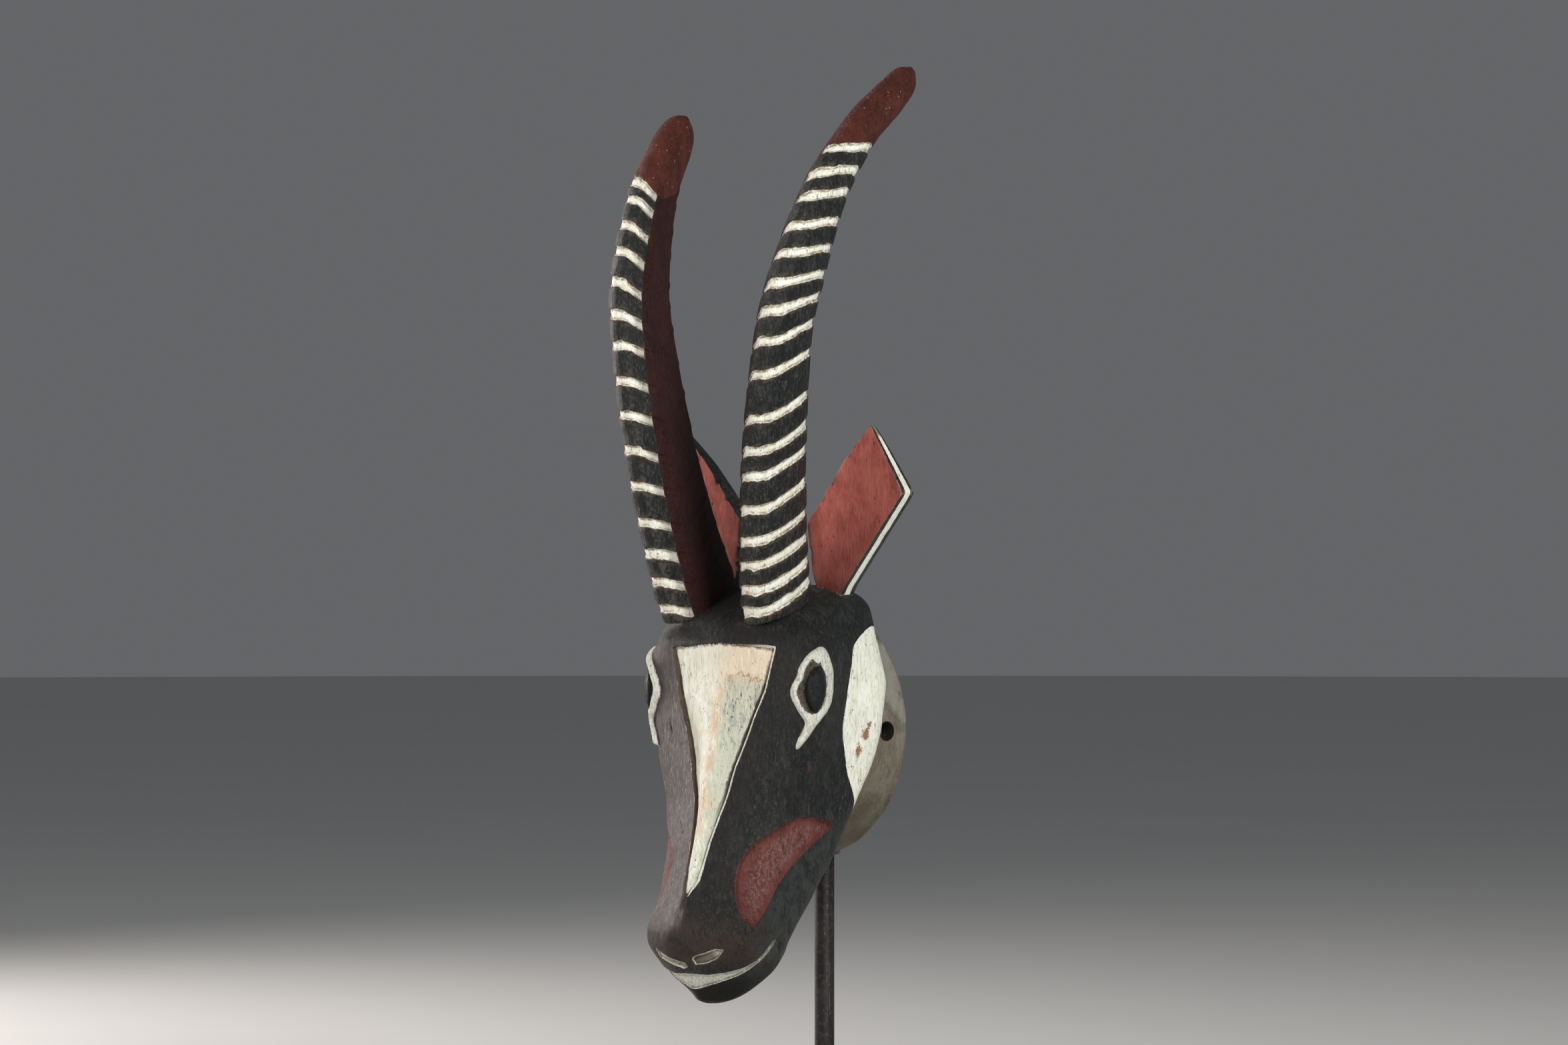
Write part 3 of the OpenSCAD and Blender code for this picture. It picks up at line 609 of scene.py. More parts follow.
def white_coat(p, dirt=0.5):
    """Chalky white paint, brushed thin, with pits and worn strokes."""
    stroke = p.noise(0.7, 4, 0.7, 9, shift=2)
    wide = p.noise(2.0, 4, 0.65, 6, warp=0.4, shift=18)
    patch = p.noise(9, 4, 0.6, 2.4, warp=0.5, shift=6)
    color = p.mix(p.step(patch, 0.36, 0.66), (0.90, 0.88, 0.79), (0.80, 0.77, 0.62))
    color = p.dab(color, (0.62, 0.63, 0.57), 0.5, p.step(wide, 0.52, 0.66))
    color = p.dab(color, (0.93, 0.92, 0.87), 0.6, p.step(stroke, 0.5, 0.7))
    color = p.dab(color, (0.44, 0.40, 0.32), 0.6, p.step(stroke, 0.47, 0.3))
    color = p.dab(color, (0.52, 0.44, 0.30), 0.45, p.step(wide, 0.44, 0.34))
    drawn = p.spots(0.57, 0.66, 1.5, 4, 0.7, 11, warp=0.3, shift=16)
    color = p.dab(color, (0.42, 0.40, 0.36), 0.5, drawn)
    pits = p.times(p.dots(0.17, 0.08, 2.9, 1.3), p.spots(0.50, 0.62, 6, 3, shift=12))
    thin = p.times(p.spots(0.59, 0.66, 1.7, 5, 0.75, 4, warp=0.6, shift=9),
                   p.spots(0.44, 0.6, 14, 3, shift=5))
    worn = p.math("MAXIMUM", pits, p.times(thin, dirt))
    color = p.dab(color, (0.050, 0.040, 0.032), 0.9, worn)
    height = p.plus(p.times(stroke, 0.6), p.times(wide, 0.6),
                    p.times(p.math("SUBTRACT", 1.0, worn), 0.6), 0.35)
    return color, p.blend(stroke, 0.42, 0.68), height


def scaled(color, by):
    return tuple(by * c for c in color)


def red_coat(p, low, high, chips=1.0):
    """Red paint between two shades, with pits and pale scratches."""
    stroke = p.noise(0.9, 4, 0.65, 7, shift=3)
    patch = p.noise(13, 4, 0.6, 1.8, shift=7)
    cloud = p.noise(4.5, 5, 0.65, 1.8, warp=0.5, shift=27)
    color = p.mix(p.step(patch, 0.34, 0.66), low, high)
    color = p.dab(color, scaled(high, 1.25), 0.35, p.step(cloud, 0.5, 0.66))
    color = p.dab(color, scaled(high, 1.35), 0.45, p.step(stroke, 0.48, 0.7))
    color = p.dab(color, scaled(low, 0.55), 0.5, p.step(stroke, 0.46, 0.3))
    pale = p.dots(0.13, 0.06, 1.9, 2.0)
    color = p.dab(color, (0.42, 0.28, 0.24), 0.3 * chips, pale)
    pits = p.times(p.dots(0.15, 0.07, 3.6, 2.6), p.spots(0.47, 0.58, 8, 2, shift=15))
    color = p.dab(color, scaled(low, 0.08), 0.9, pits)
    height = p.plus(p.times(stroke, 0.6), p.times(patch, 0.3), p.times(cloud, 0.4),
                    p.times(pits, -0.8), 0.4)
    return color, p.blend(stroke, 0.42, 0.66), height


def bare_wood(p, dark=1.0):
    """Old unpainted wood with dirt in it: (colour, roughness, height)."""
    grain = p.noise(1.1, 5, 0.65, 14, warp=0.3, shift=1)
    broad = p.noise(15, 5, 0.65, 1.6, shift=11)
    fleck = p.noise(1.6, 4, 0.7, shift=17)
    color = p.mix(p.step(broad, 0.36, 0.64), (0.055 * dark, 0.046 * dark, 0.033 * dark),
                  (0.165 * dark, 0.150 * dark, 0.120 * dark))
    color = p.dab(color, (0.030, 0.023, 0.016), 0.75, p.step(grain, 0.5, 0.3))
    color = p.dab(color, (0.26, 0.235, 0.19), 0.4, p.step(grain, 0.55, 0.75))
    color = p.dab(color, (0.25, 0.24, 0.215), 0.4, p.step(fleck, 0.56, 0.68))
    color = p.dab(color, (0.035, 0.030, 0.022), 0.5, p.step(fleck, 0.44, 0.32))
    stain = p.spots(0.60, 0.72, 7, 4, 0.6, shift=21)
    color = p.dab(color, (0.13, 0.050, 0.018), 0.5, stain)
    return color, p.blend(grain, 0.50, 0.75), p.plus(p.times(grain, 0.8), p.times(broad, 0.5))


def black_of_head(p):
    """The black coat with the places where the head's is stained, dust-covered or worn, and with
    painted sheen and a painted highlight.
    """
    coat = black_coat(p)
    # violet-brown beside the panel, greener towards the cheek
    near = p.times(p.on("panel", 26, 4), p.right(-2, 3))
    coat = p.tint(coat, (0.014, 0.0080, 0.0092), 0.5, near)
    green = p.times(p.back(-15, 15), p.spots(0.4, 0.6, 16, 3, shift=29))
    coat = p.tint(coat, (0.0078, 0.0120, 0.0108), 0.45, green)
    # browner, worn nose
    nose = p.times(p.up(70, 34), p.back(5, -25), p.spots(0.34, 0.56, 9, 4, 0.6, shift=31),
                   p.up(22, 30))
    coat = p.tint(coat, (0.040, 0.022, 0.014), 0.75, nose)
    warm = p.times(p.up(62, 44), p.up(24, 30), p.spots(0.50, 0.60, 4, 5, 0.7, warp=0.6, shift=32))
    coat = p.tint(coat, (0.070, 0.026, 0.016), 0.6, warm)
    # pale patch on the left of the bridge of the nose: rubbed paint and a painted highlight
    nose_rub_and_highlight = p.times(p.up(72, 64), p.up(50, 60), p.right(1, -2), p.right(-20, -12), p.back(-5, -15),
                    p.spots(0.42, 0.56, 4, 4, 0.7, 2, shift=30))
    coat = p.tint(coat, (0.33, 0.29, 0.27), 0.6, nose_rub_and_highlight)
    # violet-grey dust on the snout's left plane, with light and dark strokes; its paleness is partly
    # painted sheen of the light from the left
    dust_and_sheen = p.spots(0.30, 0.66, 9, 5, 0.7, 1.6, warp=0.8, shift=33)
    left = p.times(p.right(2, -6), p.up(40, 62), p.back(40, 0))
    high = p.up(246, 176)
    coat = p.tint(coat, (0.135, 0.104, 0.098), p.blend(dust_and_sheen, 0.35, 0.92), left,
                  p.blend(high, 0.12, 1.0))
    strip = p.noise(1.0, 4, 0.7, 6, warp=0.6, shift=38)
    coat = p.tint(coat, (0.30, 0.25, 0.235), 0.7, left, high, p.step(strip, 0.53, 0.62))
    coat = p.tint(coat, (0.030, 0.022, 0.021), 0.6, left, high, p.step(strip, 0.45, 0.36))
    scratch = p.times(p.spots(0.61, 0.69, 1.3, 4, 0.75, 7, warp=1.2, shift=37), left)
    coat = p.tint(coat, (0.012, 0.009, 0.009), 0.85, scratch)
    # painted sheen: greenish grey on the right of the lower cheek and jaw, where the satin paint
    # catches the light
    painted_sheen = p.times(p.up(128, 96), p.up(18, 34), p.back(-30, 6), p.right(10, 24),
                    p.spots(0.34, 0.62, 7, 5, 0.72, 1.4, warp=0.6, shift=34))
    coat = p.tint(coat, (0.050, 0.055, 0.052), 0.75, painted_sheen)
    # painted sheen: paler grey patches over the head's right side
    thin = p.times(p.right(-4, 4), p.spots(0.50, 0.66, 5, 5, 0.72, 3, shift=40), 0.4)
    coat = p.tint(coat, (0.046, 0.044, 0.043), thin)
    # bare wood and rust where the paint has rubbed off
    rub = p.times(p.on("bend", 0.10, 0.26), p.spots(0.44, 0.6, 3, 4, 0.65, shift=35))
    coat = p.tint(coat, (0.10, 0.072, 0.054), 0.6, rub)
    scuff = p.times(p.spots(0.62, 0.72, 5, 4, 0.7, 1.6, shift=41),
                    p.spots(0.47, 0.58, 42, 2, shift=43))
    return p.tint(coat, (0.085, 0.028, 0.012), 0.5, scuff)


def panel_coats(p, coat, cream):
    """The forehead panel's paint, its cut walls and its lip."""
    x, z, panel = p.axis("X"), p.axis("Z"), p.field("panel")
    # white on the left, peach above, a rusty streak down the middle, grey-green on the right
    drag = p.noise(1.8, 4, 0.7, 9, shift=50)
    at = p.plus(x, p.plus(p.times(p.sway(9, 4, 0.6, 3, shift=51), 15),
                          p.times(p.math("SUBTRACT", drag, 0.5), 16)))
    wash = p.noise(10, 5, 0.65, 1.6, warp=0.6, shift=52)
    peach = p.times(p.step(p.plus(at, p.times(wash, 40)), 4, 34), p.up(186, 212))
    tint = p.dab(cream[0], (0.80, 0.62, 0.45), 0.8, peach)
    greys = p.times(p.step(drag, 0.50, 0.62), p.right(-20, 12), 0.40)
    tint = p.dab(tint, (0.55, 0.50, 0.42), greys)
    streak = p.times(p.step(at, -6, -1), p.step(at, 6, 1.0), p.up(216, 196),
                     p.spots(0.34, 0.58, 3, 4, 0.7, 6, shift=57), p.up(92, 125))
    tint = p.dab(tint, (0.72, 0.43, 0.23), 0.7, streak)
    low_edge = p.plus(z, p.times(p.sway(7, 4, 0.65, shift=59), 22))
    right = p.times(p.step(at, 0.5, 6.0), p.step(low_edge, CHIN + 213, CHIN + 205))
    tint = p.dab(tint, (0.50, 0.51, 0.39), p.blend(p.noise(2.4, 4, 0.7, 5, shift=60), 0.35, 1.0),
                 right)
    blue = p.times(right, p.spots(0.50, 0.62, 5, 5, 0.7, 3.5, warp=0.6, shift=63), p.up(162, 178),
                   p.step(at, 3, 9))
    tint = p.dab(tint, (0.26, 0.29, 0.28), 0.6, blue)
    smudge = p.spots(0.56, 0.62, 3.2, 5, 0.78, 3.2, warp=1.4, shift=55)
    tint = p.dab(tint, (0.020, 0.020, 0.020), 0.95, smudge, p.step(at, 2, 7), p.up(160, 175),
                 p.up(214, 205))
    rust = p.times(p.step(p.math("ABSOLUTE", p.plus(low_edge, -(CHIN + 209.0))), 2.6, 0.6),
                   p.right(3, 8), p.spots(0.44, 0.58, 1.6, 4, 0.7, shift=65))
    tint = p.dab(tint, (0.42, 0.15, 0.045), 0.85, rust)
    spots = p.times(p.spots(0.63, 0.69, 1.5, 5, 0.75, 2, warp=0.8, shift=68),
                    p.spots(0.44, 0.58, 16, 2, shift=70))
    tint = p.dab(tint, (0.40, 0.17, 0.06), 0.7, spots)
    top = p.times(p.up(220, 228), p.math("SUBTRACT", p.noise(0.9, 3, 0.7, 4, shift=67), 0.52), 6.5)
    painted = p.step(p.plus(p.ragged(panel, 0.9, 0.6, 61), top), -1.1, -1.6)
    coat = p.over(coat, cream, painted, tint, relief=True)
    # bare brown cut wall on the left with a thin black line at its foot
    below_top = p.up(227.4, 225.4)
    side_left = p.times(p.right(1.0, -1.0), below_top)
    wall = p.times(p.on("panel", 0.35, 0.05), p.edge("panel", -2.0, -1.6, 0.5, 0.3, 62), side_left)
    brown = p.mix(p.noise(2, 4, 0.6, 5, shift=64), (0.040, 0.022, 0.012), (0.15, 0.095, 0.055))
    coat = p.tint(coat, brown, wall)
    line = p.times(p.edge("panel", -2.5, -2.1, 0.9, 0.5, 71),
                   p.edge("panel", -1.5, -1.8, 0.9, 0.5, 72), side_left)
    coat = p.tint(coat, (0.012, 0.009, 0.008), 0.9, line)
    chalk = p.times(p.edge("panel", 0.55, 0.35, 0.5, 0.4, 73), p.on("panel", 0.05, 0.25), side_left,
                    p.spots(0.52, 0.58, 9, 3, shift=74), p.up(215, 195))
    coat = p.over(coat, cream, p.times(chalk, 0.85))
    # dark floor beside the right wall, and a white lip outside it
    groove = p.times(p.edge("panel", -1.0, -1.3, 1.2, 0.4, 65),
                     p.edge("panel", -3.8, -2.9, 2.4, 0.8, 67), p.right(2, 5), p.up(222, 204),
                     p.up(112, 140))
    coat = p.tint(coat, (0.060, 0.036, 0.034), 0.9, groove)
    lip = p.times(p.edge("panel", 1.15, 0.8, 0.7, 0.8, 69),
                  p.edge("panel", -1.2, -0.9, 0.5, 0.4, 66), p.right(1, 4), p.up(230.5, 229))
    return p.over(coat, cream, p.times(lip, 0.97))


def head_base(name):
    """What the head's painted materials share."""
    p = Paint(name)
    return p, black_of_head(p), white_coat(p)


def head_finish(p, coat):
    """Darker in the cuts and hollows, then the shader."""
    hollow_darkening = p.times(p.on("bend", -0.06, -0.24), p.spots(0.3, 0.55, 4, 3, shift=89))
    color = p.dab(coat[0], (0.022, 0.015, 0.010), 0.6, hollow_darkening)
    return p.finish(color, coat[1], coat[2], 0.0013, Specular_IOR_Level=0.32)


def brow_material():
    """The part of the head with the forehead panel."""
    p, coat, cream = head_base("brow_paint")
    return head_finish(p, panel_coats(p, coat, cream))


def jaw_material():
    """The lowest part, with the mouth, the nostrils and a chin darkened to nearly black by painted
    shade.
    """
    p, coat, cream = head_base("jaw_paint")
    # painted shade darkens the underside of the chin
    chin = p.times(p.up(22, 12), 0.75)
    coat = p.tint(coat, (0.0028, 0.0022, 0.0018), chin)
    mouth = p.edge("mouth", 0.1, -0.25, 0.6, 0.7, 83)
    greenish = p.dab(cream[0], (0.44, 0.45, 0.33), 0.5, p.back(-28, -5))
    coat = p.over(coat, cream, mouth, greenish)
    nostril = p.edge("nostril", 0.0, -0.35, 0.4, 0.4, 85)
    centre = p.times(p.right(0.0, 4.0), p.edge("nostril", -0.2, -0.8, 0.9, 0.6, 86),
                     p.right(26, 18))
    dull = p.dab(cream[0], (0.15, 0.10, 0.060), 0.9, centre)
    coat = p.over(coat, cream, nostril, dull)
    return head_finish(p, coat)


def side_material():
    """The rest of the head, with the eyes, leaves, crescents and drying cracks."""
    p, coat, cream = head_base("side_paint")
    ring = p.edge("eyering", 0.15, -0.2, 0.6, 0.6, 73)
    streaks = p.spots(0.52, 0.64, 1.5, 5, 0.75, 2, shift=75)
    grey = p.dab(cream[0], (0.20, 0.20, 0.18), 0.35, streaks)
    worn = p.edge("eyewall", 0.6, -0.1, 1.4, 1.2, 76)
    dirty = p.mix(p.spots(0.42, 0.6, 1.8, 4, 0.75, shift=78), (0.022, 0.014, 0.011),
                  (0.17, 0.11, 0.075))
    grey = p.dab(grey, dirty, 0.95, worn)
    coat = p.over(coat, cream, ring, grey)
    leaf = p.edge("leaf", 0.2, -0.2, 1.0, 0.7, 77)
    chips = p.edge("rust", 0.4, -0.3, 5.0, 4.5, 79)
    ghost = p.spots(0.52, 0.66, 4, 5, 0.72, 3.2, warp=0.5, shift=82)
    leaf_color = p.dab(cream[0], (0.50, 0.53, 0.50), 0.5, ghost)
    leaf_color = p.dab(leaf_color, (0.26, 0.075, 0.022), 0.9, chips)
    coat = p.over(coat, cream, leaf, leaf_color, relief=True)
    crescent = p.edge("crescent", 0.1, -0.25, 0.7, 0.5, 87)
    red = red_coat(p, (0.098, 0.018, 0.014), (0.175, 0.046, 0.038))
    # pale mottles in the crescent's middle: dust and a painted highlight
    dust_and_highlight = p.times(p.spots(0.42, 0.64, 1.8, 5, 0.75, 1.6, warp=0.5, shift=84),
                    p.on("crescent", -1.5, -8.0))
    red_with_dust_and_highlight = p.dab(red[0], (0.27, 0.18, 0.17), 0.6, dust_and_highlight)
    coat = p.over(coat, red, crescent, red_with_dust_and_highlight)
    # satin eyeballs
    ball = p.on("eyeball", -0.6, -1.0)
    swirl = p.noise(1.2, 4, 0.65, (2.2, 2.2, 0.8), warp=1.0, shift=88)
    eye_black = p.mix(p.step(swirl, 0.45, 0.7), (0.005, 0.006, 0.007), (0.022, 0.025, 0.027))
    coat = (p.mix(ball, coat[0], eye_black), p.blend(ball, coat[1], 0.36), coat[2])
    crack = p.edge("crack", 0.5, 0.15, 0.6, 0.5, 91)
    coat = p.tint(coat, (0.004, 0.003, 0.003), 0.9, crack)
    cheek_rust = p.times(chips, p.step(leaf, 0.5, 0.1), 0.45)
    coat = p.tint(coat, (0.12, 0.036, 0.016), cheek_rust)
    return head_finish(p, coat)


def rim_material():
    """Bare wood, greenish low down and paler above."""
    p = Paint("rim_wood")
    coat = bare_wood(p)
    z = p.axis("Z")
    low = p.step(p.plus(z, p.times(p.noise(16, 3, shift=5), 30)), CHIN + 165, CHIN + 115)
    color = p.dab(coat[0], (0.055, 0.048, 0.030), 0.6, low)
    pale = p.times(p.up(150, 195), p.spots(0.35, 0.6, 12, 4, 0.6, shift=9))
    color = p.dab(color, (0.32, 0.315, 0.285), 0.5, pale)
    edge = p.times(p.on("bend", 0.06, 0.2), p.spots(0.4, 0.55, 6, 3, shift=13))
    color = p.dab(color, (0.20, 0.105, 0.055), 0.4, edge)
    inside = p.back(103, 97)
    color = p.dab(color, (0.16, 0.10, 0.055), 0.25, inside)
    # painted shade: the walls of the holes through the rim near black
    bore = p.on("bore", 6.9, 6.2)
    color = p.dab(color, (0.006, 0.005, 0.004), bore)
    return p.finish(color, coat[1], coat[2], 0.0006, Specular_IOR_Level=0.35)


def horn_material():
    """Black with cream in the cut rings, deep red inside and at the tip."""
    p = Paint("horn_paint")
    coat = black_coat(p)
    rub = p.times(p.on("bend", 0.10, 0.26), p.spots(0.46, 0.6, 3, 4, 0.65, shift=35))
    coat = p.tint(coat, (0.10, 0.080, 0.065), 0.6, rub)
    cream = white_coat(p, 0.8)
    edge = p.times(p.edge("ring", 0.9, 0.45, 0.9, 0.7, 21), p.spots(0.4, 0.55, 4, 3, shift=22))
    coat = p.tint(coat, (0.125, 0.056, 0.026), 0.8, edge)
    share = p.times(p.edge("ring", 0.25, -0.15, 1.0, 0.8, 23),
                    p.edge("inner", 0.2, 0.7, 1.6, 0.8, 24))
    stain = p.times(p.on("ring", -2.3, -0.3), p.spots(0.44, 0.60, 2.5, 5, 0.72, shift=26))
    dull = p.dab(cream[0], (0.32, 0.18, 0.09), 0.75, stain)
    # painted shade: the rings greyed on the bevel beside the red inner face
    dull = p.dab(dull, (0.17, 0.15, 0.13), 0.55, p.on("inner", 9.0, 3.5))
    coat = p.over(coat, cream, share, dull, relief=True)
    # the red inner faces near black: dark maroon paint, darkened further by painted shade
    deep = red_coat(p, (0.018, 0.0012, 0.0004), (0.030, 0.0028, 0.0012), 0.0)
    coat = p.over(coat, deep, p.edge("inner", 0.3, -0.3, 1.2, 0.6, 25))
    red = red_coat(p, (0.046, 0.0066, 0.0032), (0.098, 0.018, 0.010), 0.6)
    tip = p.edge("tip", -0.3, 0.4, 1.0, 0.8, 27)
    worn = p.times(p.spots(0.60, 0.67, 2.2, 5, 0.75, shift=29), 0.8)
    tip_color = p.mix(worn, red[0], (0.030, 0.013, 0.009))
    tip_color = p.dab(tip_color, (0.45, 0.38, 0.32), 0.6, p.dots(0.14, 0.06, 4.5))
    coat = p.over(coat, red, tip, tip_color)
    # darker in the cuts and hollows
    hollow_darkening = p.times(p.on("bend", -0.05, -0.2), p.spots(0.32, 0.56, 4, 3, shift=39))
    color = p.dab(coat[0], (0.035, 0.024, 0.017), 0.6, hollow_darkening)
    return p.finish(color, coat[1], coat[2], 0.0009, Specular_IOR_Level=0.28)


def ear_material():
    """Red in front, black behind and along the edge, with a cream stripe on the outer edge."""
    p = Paint("ear_paint")
    coat = red_coat(p, (0.25, 0.050, 0.038), (0.41, 0.105, 0.084))
    z = p.axis("Z")
    # painted shade: the ear's red darker towards its bottom, and nearly black at its foot
    foot = p.step(p.plus(z, p.times(p.noise(5, 4, 0.7, shift=3), 16)), CHIN + 284, CHIN + 268)
    coat = p.tint(coat, (0.040, 0.013, 0.010), 0.85, foot)
    lower = p.step(p.plus(z, p.times(p.noise(9, 4, 0.65, shift=13), 24)), CHIN + 336, CHIN + 284)
    coat = p.tint(coat, (0.16, 0.042, 0.030), 0.55, lower)
    chip = p.times(p.field("chip"), p.spots(0.3, 0.5, 2.5, 4, 0.7, shift=4))
    coat = p.tint(coat, (0.030, 0.012, 0.010), 0.9, chip)
    gold = p.times(p.spots(0.66, 0.72, 1.4, 5, 0.8, warp=1.2, shift=6),
                   p.spots(0.52, 0.6, 11, 2, shift=8))
    coat = p.tint(coat, (0.38, 0.22, 0.10), 0.7, gold)
    black = black_coat(p)
    coat = p.over(coat, black, p.edge("side", -0.5, 0.1, 0.9, 0.6, 5))
    cream = white_coat(p, 0.8)
    grey_tip = p.times(p.up(362, 366), 0.85)
    stripe_color = p.mix(grey_tip, cream[0], (0.10, 0.105, 0.10))
    stripe = p.times(p.edge("side", 4.2, 4.8, 0.8, 0.6, 7), p.edge("side", 10.9, 10.3, 1.4, 0.9, 9),
                     p.on("outer", 0.45, 0.55))
    coat = p.over(coat, cream, stripe, stripe_color, relief=True)
    edge = p.times(p.on("bend", 0.12, 0.3), p.spots(0.42, 0.55, 3, 3, shift=12))
    coat = p.tint(coat, (0.34, 0.24, 0.20), 0.5, edge)
    # darker in the cuts and hollows
    hollow_darkening = p.on("bend", -0.06, -0.2)
    color = p.dab(coat[0], (0.03, 0.02, 0.015), 0.5, hollow_darkening)
    return p.finish(color, coat[1], coat[2], 0.0006, Specular_IOR_Level=0.35)


def peg_material():
    p = Paint("peg_wood")
    color, rough, height = bare_wood(p, 1.4)
    return p.finish(color, rough, height, 0.0003)


def dark_steel():
    p = Paint("dark_steel")
    broad = p.noise(14, 4, 0.6, 3)
    fine = p.noise(0.8, 4, 0.6)
    color = p.mix(p.step(broad, 0.35, 0.65), (0.010, 0.010, 0.012), (0.034, 0.031, 0.031))
    rust = p.times(p.spots(0.52, 0.62, 3, 5, 0.7, shift=5), 0.7)
    color = p.dab(color, (0.090, 0.044, 0.032), rust)
    worn = p.times(p.spots(0.58, 0.68, 1.6, 5, 0.75, 2.2, shift=7), 0.5)
    color = p.dab(color, (0.20, 0.18, 0.17), worn)
    scratch = p.spots(0.66, 0.74, 0.7, 2, 0.5, 22, shift=9)
    color = p.dab(color, (0.16, 0.16, 0.165), 0.5, scratch)
    rough = p.blend(fine, 0.34, 0.56)
    return p.finish(color, rough, p.plus(p.times(fine, 0.6), p.times(broad, 0.5)), 0.00018,
                    Metallic=0.55, Specular_IOR_Level=0.5)


def bright_steel():
    p = Paint("bright_steel")
    lathe = p.noise(0.5, 3, 0.5, (14, 0.6, 14))
    spots = p.noise(2.5, 4, 0.6, shift=3)
    color = p.mix(p.step(spots, 0.4, 0.65), (0.42, 0.42, 0.43), (0.30, 0.28, 0.26))
    return p.finish(color, p.blend(lathe, 0.24, 0.42), lathe, 0.00005, Metallic=1.0)


def felt():
    p = Paint("felt")
    fibres = p.noise(0.35, 5, 0.75, (1, 2.2, 1), warp=1.5)
    tufts = p.noise(2.4, 3, 0.6, shift=4)
    color = p.mix(fibres, (0.026, 0.026, 0.029), (0.085, 0.085, 0.088))
    color = p.dab(color, (0.12, 0.12, 0.12), 0.35, p.step(tufts, 0.5, 0.7))
    return p.finish(color, p.blend(fibres, 0.85, 0.97), p.plus(fibres, tufts), 0.0004,
                    Specular_IOR_Level=0.15, Sheen_Weight=0.35, Sheen_Roughness=0.5)


# ---------------------------------------------------------------- head

SIDE_PAINT, RIM_WOOD, BROW_PAINT, JAW_PAINT = range(4)  # the head's material slots
BROW_REACH, JAW_TOP = 7, 47  # beyond the panel's outline, above the lip
AROUND = (38, 34, 36, 24, 14)  # points between two outline corners, from the front to the back


def head_loops():
    """Level loops of the uncarved head, smooth both up it and round it."""
    table = np.array([[(x, y, row[0]) for x, y in row[1:]] for row in HEAD], float)
    last = len(table) - 1
    rows = []
    for i in range(last):
        a, b, c, d = (table[k] for k in (max(i - 1, 0), i, i + 1, min(i + 2, last)))
        gap = c[0, 2] - b[0, 2]
        steps = max(2, round(gap / (0.85 if b[0, 2] < 50 else 1.0)))
        rows += [spline(a, b, c, d, u) for u in np.arange(steps) / steps]
    rows.append(table[last])
    rows = np.array(rows)
    knots = np.concatenate([rows, rows[:, 4:0:-1] * (-1, 1, 1)], 1)
    count = knots.shape[1]
    steps = AROUND + AROUND[::-1]
    loops = []
    for i in range(count):
        a, b, c, d = (knots[:, (i + k) % count] for k in (-1, 0, 1, 2))
        for s in range(steps[i]):
            loops.append(spline(a, b, c, d, s / steps[i]))
    return np.stack(loops, 1)


def eye_frame(points):
    """A point's place across, up and out of the eye on its side."""
    x, y, z = np.abs(points[:, 0]) - EYE_CENTRE[0], points[:, 1] - EYE_CENTRE[1], points[:, 2]
    return (x * math.cos(EYE_TURN) + y * math.sin(EYE_TURN), z - EYE_CENTRE[2],
            x * math.sin(EYE_TURN) - y * math.cos(EYE_TURN))


def head_fields(points):
    """Distances to the outlines of everything carved or painted, negative inside."""
    x, y, z = points.T
    fields = {"panel": np.where(y < 40, outline_distance(x, z, PANEL), FAR)}
    crescent = CRESCENT_UPPER + CRESCENT_LOWER
    fields["crescent"] = np.where(np.abs(x) > 12, outline_distance(y, z, crescent), FAR)
    both = np.minimum(*[outline_distance(x, z, n) for n in NOSTRILS])
    fields["nostril"] = np.where(y < -10, both, FAR)
    fields["mouth"] = np.where(y < 8, outline_distance(y, z, MOUTH), FAR)
    across, up, out = eye_frame(points)
    outer = outline_distance(across, up, rounded(EYE_OUTER))
    inner = outline_distance(across, up, rounded(EYE_INNER))
    here = out > -25
    fields["eyering"] = np.where(here, np.maximum(outer, -inner), FAR)
    fields["eyeball"] = np.where(here, inner, FAR)
    # the ring's left side slopes down to the ball from a crest
    crest = 3.7 + outer + 5 * smooth(-2.0, 3.0, across) + 5 * smooth(-13, -18, up)
    fields["eyewall"] = np.where(here & (outer < 0), crest, FAR)
    fields["leaf"] = np.where(np.abs(x) > 30, outline_distance(y, z, rounded(LEAF)), FAR)
    rust = np.min([np.hypot(y - a, (z - b) / 1.7) - r for a, b, r in RUST], 0)
    fields["rust"] = np.where(np.abs(x) > 30, rust, FAR)
    crack = np.minimum(*[line_distance(x, z, line) for line in CRACKS])
    fields["crack"] = np.where(y < 30, crack, FAR)
    return {name: np.clip(values, -FAR, FAR) for name, values in fields.items()}


